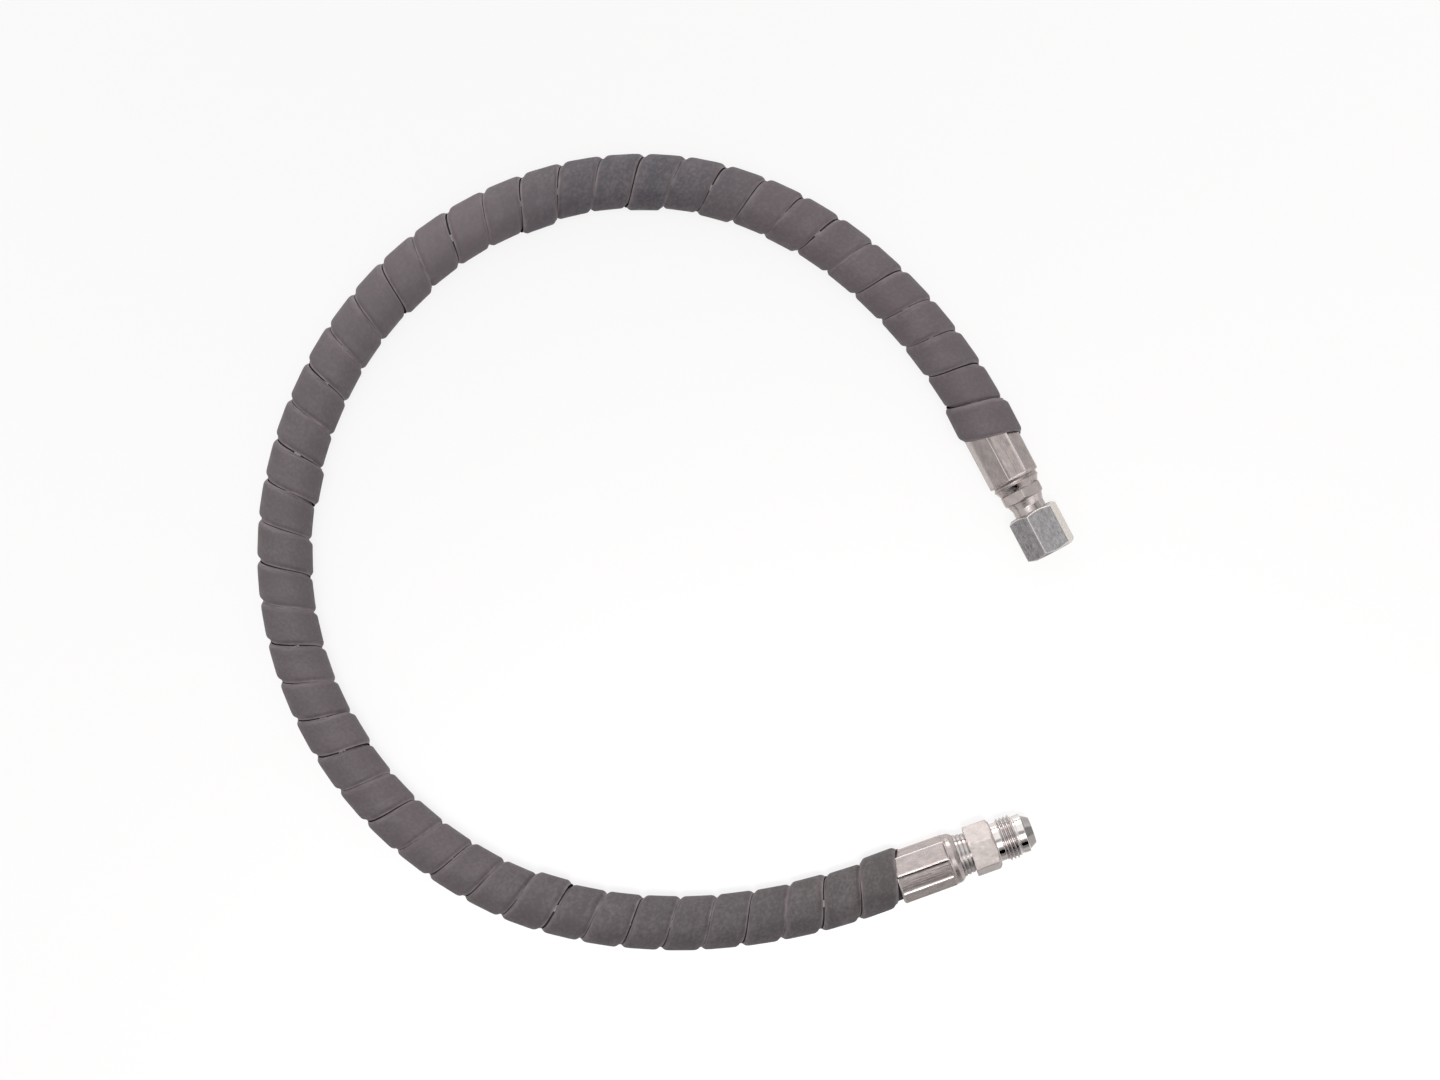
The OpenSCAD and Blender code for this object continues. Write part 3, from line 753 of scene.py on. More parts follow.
@dataclass
class SpiralGuard:
    """A flat plastic strip wound left-handed round the hose, lapping over both ferrules."""

    route: Route
    inner_r: float = 10.95
    wall: float = 1.7
    turns: float = 47.75
    gap: float = 0.7
    swivel_lap: float = 11.0
    male_lap: float = 6.8
    first_angle: float = -45.0
    # Inner radius on a ferrule, and the stretch before its mouth in which the strip widens to it
    ferrule_r: float = 12.72
    ease_before: float = 4.8
    ease_len: float = 6.0
    steps_per_turn: int = 48
    # Distances from an edge at which the section has points
    section_steps: tuple[float, ...] = (0, 0.12, 0.3, 0.55, 0.85, 1.15, 1.45, 1.8, 2.2, 2.8, 3.6, 4.8)
    # The strip's edges are worn down to a long round shoulder, the later edge further
    foot_spread: float = 0.16
    shoulders: tuple[float, float] = (1.65, 2.05)
    shoulder_blend: float = 0.3
    inner_round: float = 0.15
    worn_w: float = 1.3
    # Small slips of the winding along the hose: size, waves per radian of winding, and phase
    slips: tuple[tuple[float, float, float], ...] = ((0.16, 0.41, 1.1), (0.1, 0.87, 2.6))
    lift: tuple[float, float, float] = (0.07, 0.53, 0.4)
    # Share of the bend's stretch that opens the gaps outside and closes them inside
    stretch: float = 0.22
    # Turns that ride up on the inside of the bend, how far they stand proud, and over what share
    proud_turns: tuple[tuple[float, float], ...] = (
        (7.2, 1.6), (9.1, 0.7), (11.1, 1.2), (14.0, 1.6), (18.1, 1.7), (24.0, 1.4), (26.0, 0.5),
        (30.9, 1.4), (38.0, 1.4), (45.1, 0.6),
    )
    proud_share: float = 0.17

    @property
    def pitch(self) -> float:
        """Distance along the hose from one turn to the next."""
        reach = self.route.length + self.swivel_lap + self.male_lap
        return (reach + self.gap) / (self.turns + 1)

    def section(self) -> Array:
        """The strip's cross-section: distance across, height over its inner face, and wear."""
        half = (self.pitch - self.gap) / 2 + self.foot_spread
        near = np.array(self.section_steps)
        worn = np.exp(-((near / self.worn_w) ** 2))
        left, right = (
            self.wall - np.minimum(
                self.shoulder_blend * np.log1p(np.exp((reach - near) / self.shoulder_blend)),
                self.wall - 2 * self.inner_round,
            )
            for reach in self.shoulders
        )
        q = self.inner_round
        small = np.linspace(0, pi / 2, 3)
        return np.array([
            *zip(half - near, right, worn),
            *reversed([*zip(near - half, left, worn)]),
            *((-half + q - q * cos(a), q - q * sin(a), 0.3) for a in small),
            *((a, 0.0, 0.0) for a in np.linspace(-(half - q), half - q, 6)[1:-1]),
            *((half - q + q * sin(a), q - q * cos(a), 0.3) for a in small),
        ])

    def build(self) -> Object:
        """Makes the strip as one closed ribbon."""
        across, height, wear = self.section().T
        count, strip_w = round(self.turns * self.steps_per_turn) + 1, self.pitch - self.gap
        turn = np.arange(count) / self.steps_per_turn
        held = np.minimum(turn, self.turns - turn)
        angle = radians(self.first_angle) + turn * TURN
        slip = sum(size * np.sin(rate * angle + phase) for size, rate, phase in self.slips)
        centre = -self.swivel_lap + strip_w / 2 + turn * self.pitch + slip * smoothstep(0.2, 1.5, held)
        size, rate, phase = self.lift
        lift = size * (1 + np.sin(rate * angle + phase))
        radius = self.inner_r + lift * smoothstep(0.5, 1.5, held)
        lap = np.maximum(strip_w / 2 - centre, centre + strip_w / 2 - self.route.length)
        radius += (self.ferrule_r - radius) * smoothstep(0, 1, (lap + self.ease_before) / self.ease_len)
        # The inside of the bend is half a turn from the outer side
        turn_at_inside = turn - (180 - self.first_angle) / 360
        for at, proud in self.proud_turns:
            radius += proud * np.exp(-(((turn_at_inside - at) / self.proud_share) ** 2))
        grid_a = np.repeat(angle[:, None], len(across), axis=1)
        grid_r = radius[:, None] + height
        widened = 1 + self.stretch * self.route.bend(centre)[:, None] * grid_r * np.cos(grid_a)
        grid_s = centre[:, None] + across / widened
        points = self.route.around(grid_s, grid_r, grid_a)
        points[..., 2] = np.maximum(points[..., 2], FLOOR_Z)
        along = turn * hypot(TURN * (self.inner_r + self.wall), self.pitch)
        level = np.zeros_like(grid_s)
        bench = np.stack([along[:, None] + level, across + height + level, grid_s], axis=-1)
        piece = Piece("guard_strip", HOSE_BODY, "guard_plastic", ("spiral_guard",), (GUARD_PLASTIC,))
        return piece.build(points, tube_faces(count, len(across), False), bench, np.tile(wear, count))


# ---- Turned pieces ----


class Form(Enum):
    """What is cut into a stretch of a turned piece."""

    ROUND = "nothing"
    HEX = "a hexagon"
    CRIMP = "crimped flats"
    THREAD = "a thread"


@dataclass(frozen=True)
class Corner:
    """A corner of a turned piece's outline, with the form and the step of the stretch after it."""

    z: float
    r: float
    fillet: float = 0.0
    form: Form = Form.ROUND
    step: float = 1000.0


class Cutter(Protocol):
    """Something that cuts a form into turned metal."""

    def cut(self, z: Array, a: Array, r: Array, wear: Array) -> tuple[Array, Array]:
        """Cuts points of the metal's face.

        Args:
            z: The points' places on the axis.
            a: Their angles.
            r: Their radii.
            wear: How worn they are, from 0 to 1.

        Returns:
            Their new radii, and how worn they are then.
        """


@dataclass(frozen=True)
class Hexagon:
    """A hexagon round the axis, with a corner at `turn` degrees."""

    across_flats: float
    turn: float
    sharpness: float = 9.0
    # Direction of the two opposite faces painted near white as a highlight for the light that they
    # mirror, the angles from their middles between which the painted highlight fades, and the drop from
    # the outline at which it is full
    rubbed: float | None = None
    highlight_edge: tuple[float, float] = (31.0, 27.0)
    highlight_drop: float = 0.4
    # How fast the wear at a corner fades as it stands back, per millimetre
    corner_fade: float = 3.0

    def cut(self, z: Array, a: Array, r: Array, wear: Array) -> tuple[Array, Array]:
        """Cuts the flats, wears the corners, and paints a highlight on two opposite faces."""
        flats = [radians(self.turn + 30 + 60 * k) for k in range(6)]
        near = np.stack([np.maximum(np.cos(a - flat), 0.2) for flat in flats])
        radii = np.sort(self.across_flats / 2 / near, axis=0)
        limit = soft_min(radii[0], radii[1], self.sharpness)
        wear = np.exp(-np.abs(r - limit) * self.corner_fade)
        # Painted highlight: the two faces towards `rubbed` are made near white through the wear
        # attribute, for the light that they mirror
        if self.rubbed is not None:
            facing = np.abs(np.cos(a - radians(self.rubbed)))
            face = smoothstep(*(cos(radians(edge)) for edge in self.highlight_edge), facing)
            wear = np.maximum(wear, face * smoothstep(0.0, self.highlight_drop, r - limit))
        return soft_min(r, limit, self.sharpness), wear


@dataclass(frozen=True)
class Thread:
    """A right-handed thread with straight flanks. A crest is at `start` and every pitch after it.

    A bolt has a root radius. A nut has none, and there the crest is where the thread goes deepest.
    """

    major_r: float
    start: float
    pitch: float
    root_r: float | None = None
    half_angle: float = 30.0
    # Share of the pitch that is flat on the crest
    crest_share: float = 1 / 4
    sharpness: float = 16.0

    def cut(self, z: Array, a: Array, r: Array, wear: Array) -> tuple[Array, Array]:
        """Cuts a bolt down to its ridges, or a nut out to its grooves."""
        phase = (z - self.start) / self.pitch - a / TURN
        off = np.abs(phase - np.round(phase)) * self.pitch
        rise = (self.pitch * self.crest_share / 2 - off) / tan(radians(self.half_angle))
        flanks = self.major_r + rise
        if self.root_r is None:
            return soft_max(r, soft_min(flanks, self.major_r, self.sharpness), self.sharpness), wear
        return soft_min(r, soft_max(flanks, self.root_r, self.sharpness), self.sharpness), wear


@dataclass(frozen=True)
class Crimp:
    """Flats that the crimping dies leave on a ferrule, with a narrow ridge between each two."""

    turn: float
    end: float
    flats: int = 8
    depth: float = 0.78
    ridge_h: float = 0.25
    ridge_w: float = 2.6
    # Radii, and distances from the mouth and from the crimp's end, between which the grip grows
    grip_r: tuple[float, float] = (11.2, 12.2)
    grip_first: tuple[float, float] = (0.2, 1.0)
    grip_last: tuple[float, float] = (1.0, 0.3)
    # How deep the rubbed strip beside a ridge reaches
    rubbed: float = 0.35

    def cut(self, z: Array, a: Array, r: Array, wear: Array) -> tuple[Array, Array]:
        """Sinks the hollow flats where the dies reached, and rubs the ridges."""
        reach = smoothstep(*self.grip_r, r) * smoothstep(*self.grip_first, z)
        reach *= 1 - smoothstep(*(self.end - d for d in self.grip_last), z)
        half = pi / self.flats
        off = np.mod(a - radians(self.turn), 2 * half) - half
        dish = self.depth * (1 - (off / half) ** 2)
        burr = self.ridge_h * np.exp(-((np.degrees(half - np.abs(off)) / self.ridge_w) ** 2))
        sunk = (dish + self.ridge_h - burr) * reach
        return r - sunk, reach * (1 - smoothstep(0, self.rubbed, sunk))


@dataclass
class TurnedPiece:
    """A closed outline spun round a fitting's axis, with hexagons, flats and threads on it."""

    piece: Piece
    end: End
    corners: Sequence[Corner]
    cutters: dict[Form, Cutter]
    sectors: int = 6
    sector_turn: float = 0.0
    per_sector: int = 20
    # How far the columns gather at the sectors' corners
    gather: float = 0.85
    # Share of a side that a fillet may take up
    fillet_share: float = 0.45
    # Distance of the extra points that hold a stretch straight beside its corners
    hold: float = 0.12
    # Stretches where oil has dried on: start, end and share
    films: Sequence[tuple[float, float, float]] = ()

    def angles(self) -> Array:
        """Angles of the mesh's columns, closest together at the sectors' corners."""
        sector = TURN / self.sectors
        u = np.linspace(-1, 1, self.per_sector + 1)[:-1]
        within = (np.sin(u * pi / 2) * self.gather + u * (1 - self.gather)) * sector / 2
        middles = radians(self.sector_turn) + (np.arange(self.sectors) + 0.5) * sector
        return (middles[:, None] + within).ravel()

    def outline(self) -> tuple[Array, Array, list[Form]]:
        """The outline's z and r with its corners rounded, and each point's form."""
        at = [np.array([c.z, c.r]) for c in self.corners]
        turns = []
        for i, c in enumerate(self.corners):
            before, after = at[i - 1] - at[i], at[(i + 1) % len(at)] - at[i]
            len_before, len_after = np.linalg.norm(before), np.linalg.norm(after)
            u, v = before / len_before, after / len_after
            opening = acos(float(np.clip(u @ v, -1, 1)))
            cut = min(c.fillet / tan(opening / 2) if c.fillet else 0.0,
                      self.fillet_share * len_before, self.fillet_share * len_after)
            steps = np.linspace(0, 1, 5) if cut else [0.0]
            turns.append([at[i] + u * cut * (1 - q) ** 2 + v * cut * q * q for q in steps])
        line, forms = [], []
        for c, turn, following in zip(self.corners, turns, [*turns[1:], turns[0]]):
            way = following[0] - turn[-1]
            run = float(np.linalg.norm(way))
            held = [self.hold, run - self.hold] if run > 4 * self.hold else []
            inner = np.linspace(self.hold, run - self.hold, max(1, round(run / c.step)) + 1)[1:-1]
            between = sorted([*held, *inner]) if run > 1e-6 else []
            line += [*turn, *(turn[-1] + way * d / run for d in between)]
            forms += [c.form] * (len(turn) + len(between))
        return *np.array(line).T, forms

    def build(self) -> Object:
        """Spins the outline and cuts its forms."""
        z, r, forms = self.outline()
        grid_z, grid_a = np.meshgrid(z, self.angles(), indexing="ij")
        grid_r, wear = r[:, None] + np.zeros_like(grid_z), np.zeros_like(grid_z)
        for first, last, share in self.films:
            wear[(grid_z > first) & (grid_z < last)] = share
        for form, cutter in self.cutters.items():
            rows = np.array([f is form for f in forms])
            was = (grid[rows] for grid in (grid_z, grid_a, grid_r, wear))
            grid_r[rows], wear[rows] = cutter.cut(*was)
        bench = np.stack([grid_r * np.cos(grid_a), grid_r * np.sin(grid_a), grid_z], axis=-1)
        faces = tube_faces(*grid_z.shape, True)
        second = None
        if len(self.piece.finishes) > 1:
            second = np.repeat([f is Form.HEX for f in forms], grid_z.shape[1])
        return self.piece.build(self.end.place(bench), faces, bench, wear, second)


# ---- The fittings ----

TAIL_START, LIP_LEN = 2.0, 3.0
TAIL_R, BARB_DEPTH, TAIL_BARBS = 6.25, 0.45, 5
PASSAGE_R, LOCK_R, FLANGE_R = 4.9, 7.2, 8.0
CRIMP_R, CRIMP_LEN, CRIMP_FLATS, MOUTH_ROUND = 12.55, 26.7, 8, 0.8
GRIP_BORE_R, GRIP_GROOVE_R, FIRST_RIB, GRIP_RIBS = 10.3, 10.9, 3.0, 4
THREAD_STEP = 0.11
# A hexagon's end face as a share of its size, how far its bar stands past the corners before the
# flats are cut, and the angle of its chamfers
HEX_FACE, HEX_OVER, CHAMFER_ANGLE = 0.945, 0.6, 30.0


def hexagon_bar(start: float, length: float, across_flats: float, neck_r: float,
                chamfered: bool) -> list[Corner]:
    """A hexagon between two necks, its corners turned down at its last end.

    Args:
        start: Where the hexagon starts.
        length: Its length.
        across_flats: Its size.
        neck_r: Radius at which its first end face starts.
        chamfered: Whether its corners are turned down at its first end too.

    Returns:
        Corners from the first end face's root to the last end face's rim.
    """
    face_r, over = across_flats / 2 * HEX_FACE, across_flats / 2 / cos(radians(30)) + HEX_OVER
    drop = (over - face_r) * tan(radians(CHAMFER_ANGLE))
    first = [Corner(start, over, 0.2, Form.HEX, 2)]
    if chamfered:
        first = [Corner(start, face_r, 0.15, Form.HEX, 0.1), Corner(start + drop, over, 0, Form.HEX, 2)]
    return [
        Corner(start, neck_r, 0.1, Form.HEX),
        *first,
        Corner(start + length - drop, over, 0, Form.HEX, 0.1),
        Corner(start + length, face_r, 0.15, Form.HEX),
    ]


@dataclass
class Fitting:
    """What both fittings have: a ferrule crimped on the hose, and an insert's barbed tail in it."""

    end: End
    shoulder: float
    ridge_turn: float

    @property
    def ferrule_end(self) -> float:
        """Where the ferrule ends."""
        return CRIMP_LEN + self.shoulder

    def tail(self) -> list[Corner]:
        """Corners of the tail and lock neck that hide in the hose and the ferrule."""
        first, lip = TAIL_START + 1, self.ferrule_end - LIP_LEN - 0.05
        pitch = (HOSE_INSERT - 2 - first) / TAIL_BARBS
        barbs = []
        for k in range(TAIL_BARBS):
            barbs.append(Corner(first + pitch * (k + 0.75), TAIL_R, 0.1))
            barbs.append(Corner(first + pitch * (k + 1), TAIL_R - BARB_DEPTH, 0.1))
        return [
            Corner(TAIL_START, PASSAGE_R + 0.3, 0.1), Corner(TAIL_START, TAIL_R - BARB_DEPTH, 0.2),
            *barbs,
            Corner(HOSE_INSERT, TAIL_R - BARB_DEPTH, 0.1), Corner(HOSE_INSERT, FLANGE_R, 0.2),
            Corner(lip, FLANGE_R, 0.2), Corner(lip, LOCK_R, 0.1),
        ]

    def grip(self) -> list[Corner]:
        """Corners of the ferrule's inside, from its lip back to its mouth."""
        pitch, end = (HOSE_INSERT - FIRST_RIB) / GRIP_RIBS, self.ferrule_end
        ribs = []
        for k in reversed(range(GRIP_RIBS)):
            start = FIRST_RIB + pitch * k
            ribs += [
                Corner(start + pitch - 0.6, GRIP_BORE_R, 0.15),
                Corner(start + pitch - 1.2, GRIP_GROOVE_R, 0.2),
                Corner(start + 1.2, GRIP_GROOVE_R, 0.2), Corner(start + 0.6, GRIP_BORE_R, 0.15),
            ]
        return [
            Corner(end, LOCK_R + 0.05, 0.15), Corner(end - LIP_LEN, LOCK_R + 0.05, 0.15),
            Corner(end - LIP_LEN, FLANGE_R + 0.1, 0.1), Corner(HOSE_INSERT + 0.3, FLANGE_R + 0.1, 0.1),
            Corner(HOSE_INSERT + 0.3, GRIP_BORE_R, 0.1),
            *ribs,
            Corner(0, GRIP_BORE_R, 0.3),
        ]

    def sleeve(self, name: str, node: str, turn_len: float, after: Sequence[Corner]) -> Object:
        """Makes the ferrule.

        Args:
            name: Name of the piece.
            node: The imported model's node that it replaces.
            turn_len: Distance from the mouth to where the dies' marks end.
            after: Corners of its outside from there to its end.

        Returns:
            The new object.
        """
        corners = [
            Corner(0, CRIMP_R - MOUTH_ROUND, 0.3, Form.CRIMP, 0.3),
            Corner(MOUTH_ROUND, CRIMP_R, 0.6, Form.CRIMP, 0.45),
            Corner(CRIMP_LEN - 0.6, CRIMP_R - 0.1, 0.4, Form.CRIMP, 0.15),
            Corner(turn_len, CRIMP_R - 0.42, 0.6, Form.CRIMP, 0.2),
            *after,
            *self.grip(),
        ]
        piece = Piece(name, HOSE_BODY, "zinc_crimped", (node,), (CRIMPED_STEEL,))
        cutters = {Form.CRIMP: Crimp(self.ridge_turn, CRIMP_LEN, CRIMP_FLATS)}
        return TurnedPiece(piece, self.end, corners, cutters, sectors=CRIMP_FLATS,
                           sector_turn=self.ridge_turn, per_sector=16).build()


@dataclass
class MaleEnd(Fitting):
    """The male fitting: a crimped ferrule, and an insert with hexagon, G 1/2 thread and cone."""

    end: End = MALE_END
    shoulder: float = 4.4
    ridge_turn: float = -6.4
    collar_len: float = 5.9
    collar_r: float = 10.3
    collar_taper: float = 0.8
    collar_ridges: int = 3
    collar_groove: float = 0.75
    hex_af: float = 22.0
    hex_len: float = 12.4
    hex_turn: float = 11.8
    relief_len: float = 3.8
    thread_major_r: float = 10.4775
    thread_root_r: float = 9.3155
    thread_pitch: float = 1.814
    thread_half_angle: float = 27.5
    thread_crest: float = 0.26
    thread_len: float = 5.8955
    nose_len: float = 5.0
    nose_step: float = 1.2
    cone_angle: float = 30.0
    tip_r: float = 6.2
    # Shares of oil on the collar, the thread and the cone
    oil: tuple[float, float, float] = (0.5, 0.38, 0.75)

    def ferrule(self) -> Object:
        """Makes the crimped sleeve, with a rounded shoulder down to the collar."""
        return self.sleeve("male_sleeve", "male_ferrule", CRIMP_LEN + 0.5, [
            Corner(CRIMP_LEN + self.shoulder * 0.6, CRIMP_R - 0.6, 1.6),
            Corner(self.ferrule_end, self.collar_r + 0.25, 0.3),
        ])

    def collar(self) -> list[Corner]:
        """Corners of the tapered, ridged collar between the ferrule and the hexagon."""
        ridge, made = self.collar_len / self.collar_ridges, []
        for k in range(self.collar_ridges):
            first, last = self.ferrule_end + ridge * k, self.ferrule_end + ridge * (k + 0.62)
            r = self.collar_r - self.collar_taper * k / self.collar_ridges
            made += [
                Corner(first, r, 0.3), Corner(last, r - self.collar_taper / 5, 0.3),
                Corner(last + ridge * 0.19, r - self.collar_groove, 0.2),
            ]
        return made

    def insert(self) -> Object:
        """Makes the insert, from its barbed tail to its cone."""
        start, root, major = self.ferrule_end, self.thread_root_r, self.thread_major_r
        hex_start = start + self.collar_len
        hex_end = hex_start + self.hex_len
        thread_start = hex_end + self.relief_len
        thread_end = thread_start + self.thread_len
        nose_end, groove = thread_end + self.nose_len, thread_end + 1.5
        cone_r = root - self.nose_step
        tip = nose_end + 0.5 + (cone_r - self.tip_r) / tan(radians(self.cone_angle))
        corners = [
            *self.tail(),
            Corner(start, LOCK_R, 0.1),
            *self.collar(),
            *hexagon_bar(hex_start, self.hex_len, self.hex_af, root, False),
            Corner(hex_end, root, 0.3),
            Corner(thread_start - 0.75, root, 0.2, Form.THREAD, THREAD_STEP),
            Corner(thread_start - 0.2, major, 0.1, Form.THREAD, THREAD_STEP),
            Corner(thread_end, major, 0.1, Form.THREAD, THREAD_STEP),
            Corner(thread_end + 0.8, root, 0.2),
            Corner(groove - 0.3, root, 0.1), Corner(groove, root - 0.3, 0.15),
            Corner(groove + 0.3, root, 0.1),
            Corner(nose_end, root, 0.25), Corner(nose_end + 0.5, cone_r, 0.2),
            Corner(tip, self.tip_r, 0.5), Corner(tip, PASSAGE_R + 0.35, 0.15),
            Corner(tip - 0.5, PASSAGE_R, 0.3), Corner(TAIL_START + 0.4, PASSAGE_R, 0.1),
        ]
        spans = ((start, hex_start), (thread_start - 0.5, thread_end + 0.6), (nose_end + 0.2, tip + 1))
        piece = Piece("male_insert", HOSE_BODY, "zinc_turned", ("male_nipple",),
                      (TURNED_STEEL, FORGED_STEEL))
        thread = Thread(major, thread_start + 0.2, self.thread_pitch, root,
                        half_angle=self.thread_half_angle, crest_share=self.thread_crest)
        cutters = {Form.HEX: Hexagon(self.hex_af, self.hex_turn), Form.THREAD: thread}
        films = [(*span, share) for span, share in zip(spans, self.oil)]
        return TurnedPiece(piece, self.end, corners, cutters, sector_turn=self.hex_turn,
                           per_sector=24, films=films).build()

    def build(self) -> list[Object]:
        """Makes the ferrule and the insert."""
        return [self.ferrule(), self.insert()]


@dataclass
class SwivelEnd(Fitting):
    """The swivel fitting: a crimped ferrule, an insert with a fixed hexagon and head, and a nut."""

    end: End = SWIVEL_END
    shoulder: float = 5.7
    ridge_turn: float = 14.5
    groove_depth: float = 1.65
    fixed_af: float = 19.0
    fixed_len: float = 5.2
    fixed_turn: float = 90.0
    standoff: float = 6.5
    neck_r: float = 7.8
    taper_r: float = 8.93
    taper_len: float = 3.4
    nut_af: float = 22.0
    nut_len: float = 21.5
    nut_turn: float = 48.2
    nut_bore_r: float = 8.5
    nut_minor_r: float = 8.75
    thread_major_r: float = 9.575
    thread_len: float = 7.3
    relief_r: float = 9.775
    head_setback: float = 1.0
    head_play: float = 0.08
    head_len: float = 8.0
    seat_angle: float = 37.0
    nut_pitch: float = 1.5875
    wire_r: float = 1.0
    wire_setback: float = 4.8
    # The wire ring's opening in degrees, its hook's bend, and the hook's distance below the flat
    wire_opening: float = 24.0
    hook_bend: float = 0.16
    hook_rise: float = 1.1
    hook_depth: float = 0.5
    wire_sides: int = 16

    def __post_init__(self) -> None:
        """Works out where the insert and the nut lie along the axis."""
        self.nut_start = self.ferrule_end + self.fixed_len + self.standoff
        self.head_start = self.nut_start + self.head_setback
        self.head_end = self.head_start + self.head_len
        self.wire_z = self.nut_start + self.wire_setback
        self.wire_ring_r = self.nut_bore_r - self.head_play / 2

    def ferrule(self) -> Object:
        """Makes the crimped sleeve, with a turned groove behind the crimp."""
        groove_r, hex_r = CRIMP_R - self.groove_depth, self.fixed_af / 2
        return self.sleeve("swivel_sleeve", "swivel_ferrule", CRIMP_LEN + 0.25, [
            Corner(CRIMP_LEN + 0.9, groove_r, 0.25), Corner(CRIMP_LEN + 1.9, groove_r, 0.25),
            Corner(CRIMP_LEN + 2.3, groove_r + 0.45, 0.3),
            Corner(self.ferrule_end - 1.6, hex_r + 0.75, 1.2), Corner(self.ferrule_end, hex_r, 0.3),
        ])

    def wire_groove(self, r: float, side: int) -> list[Corner]:
        """Corners of the half-round groove for the retaining wire.

        Args:
            r: Radius of the wall that the groove is cut in.
            side: 1 for a groove that goes outwards, as in the nut, and -1 for one inwards.

        Returns:
            Corners in the direction of falling z for the nut, and of rising z for the head.
        """
        play = self.wire_r + self.head_play
        low = asin((r - self.wire_ring_r) * side / play)
        made = [Corner(self.wire_z + play * cos(a), self.wire_ring_r + side * play * sin(a))
                for a in np.linspace(low, pi - low, 9)]
        return made[::side]

    def insert(self) -> Object:
        """Makes the insert, from its barbed tail to the head with its seat."""
        start, head_start = self.ferrule_end, self.head_start
        hex_end = start + self.fixed_len
        head_r = self.nut_bore_r - self.head_play
        seat_r = head_r - 0.5
        seat_z = self.head_end - (seat_r - PASSAGE_R) / tan(radians(self.seat_angle))
        corners = [
            *self.tail(),
            *hexagon_bar(start, self.fixed_len, self.fixed_af, LOCK_R, False),
            Corner(hex_end, self.taper_r, 0.1),
            Corner(hex_end + self.taper_len, self.neck_r, 1.2),
            Corner(head_start - 0.5, self.neck_r, 0.2), Corner(head_start, head_r, 0.15),
            *self.wire_groove(head_r, -1),
            Corner(self.head_end, head_r, 0.15), Corner(self.head_end, seat_r, 0.1),
            Corner(seat_z, PASSAGE_R, 0.2), Corner(TAIL_START + 0.4, PASSAGE_R, 0.1),
        ]
        piece = Piece("swivel_insert", HOSE_BODY, "zinc_turned", ("swivel_nipple",),
                      (SWIVEL_STEEL, FORGED_STEEL))
        cutters = {Form.HEX: Hexagon(self.fixed_af, self.fixed_turn)}
        return TurnedPiece(piece, self.end, corners, cutters, sector_turn=self.fixed_turn).build()

    def nut(self) -> Object:
        """Makes the long hexagonal nut, threaded from its mouth."""
        start, stop, bore_r = self.nut_start, self.nut_start + self.nut_len, self.nut_bore_r
        relief, crest_end = self.head_end + 0.6, stop - 1
        thread_back = crest_end - self.thread_len
        corners = [
            Corner(start, bore_r + 0.4, 0.1),
            *hexagon_bar(start, self.nut_len, self.nut_af, bore_r + 1.0, True),
            Corner(stop, self.nut_minor_r + 1.1, 0.15),
            Corner(crest_end, self.nut_minor_r, 0.1, Form.THREAD, THREAD_STEP),
            Corner(thread_back, self.nut_minor_r, 0.1, Form.THREAD, THREAD_STEP),
            Corner(thread_back - 0.45, self.relief_r, 0.1),
            Corner(relief, self.relief_r, 0.15), Corner(relief, bore_r, 0.1),
            *self.wire_groove(bore_r, 1),
            Corner(start + 0.4, bore_r, 0.1),
        ]
        piece = Piece("nut_hexagon", NUT_BODY, "zinc_nut", ("swivel_nut",), (DRAWN_STEEL,))
        cutters = {
            # Two opposite faces of the nut get a painted highlight, near white
            Form.HEX: Hexagon(self.nut_af, self.nut_turn, rubbed=self.nut_turn - 30),
            Form.THREAD: Thread(self.thread_major_r, crest_end - 0.8, self.nut_pitch),
        }
        return TurnedPiece(piece, self.end, corners, cutters, sector_turn=self.nut_turn,
                           per_sector=24).build()

    def wire(self) -> Object:
        """Makes the retaining wire: most of a ring, with its end hooked out into the nut's wall."""
        # The hook's hole is in the nut's flat that faces down
        hook = radians(self.nut_turn + 30 - 180)
        outwards = np.array([cos(hook), sin(hook)])
        turn = hook + np.linspace(self.hook_bend, TURN - radians(self.wire_opening), 90)
        ring = self.wire_ring_r * np.stack([np.cos(turn), np.sin(turn)], axis=1)
        q = np.linspace(0, 1, 8)[:, None]
        bend = outwards * (self.wire_ring_r + self.hook_rise) * (1 - q) ** 2
        bend = bend + outwards * self.wire_ring_r * 2 * q * (1 - q) + ring[0] * q * q
        line = np.array([outwards * (self.nut_af / 2 - self.hook_depth), *bend, *ring[1:]])
        way = np.gradient(line, axis=0)
        way /= np.linalg.norm(way, axis=1, keepdims=True)
        side = np.stack([way[:, 1], -way[:, 0]], axis=1)[:, None]
        angle = np.arange(self.wire_sides) / self.wire_sides * TURN
        flat = line[:, None] + side * self.wire_r * np.cos(angle)[:, None]
        out = self.wire_z + self.wire_r * np.sin(angle)[:, None] + np.zeros((len(line), 1, 1))
        bench = np.concatenate([flat, out], axis=-1)
        faces = tube_faces(len(line), self.wire_sides, False)
        piece = Piece("retaining_wire", NUT_BODY, "spring_wire", ("thrust_wire",), (SPRING_STEEL,))
        return piece.build(self.end.place(bench), faces, bench)

    def build(self) -> list[Object]:
        """Makes the ferrule, the insert, the nut and the retaining wire."""
        return [self.ferrule(), self.insert(), self.nut(), self.wire()]


# ---- The studio ----


@dataclass(frozen=True)
class Source:
    """A round source of light in the room, or with a negative amount a dark place.

    The light is full within `core` degrees and gone at `edge`.
    """

    azimuth: float
    elevation: float
    core: float
    edge: float
    amount: float


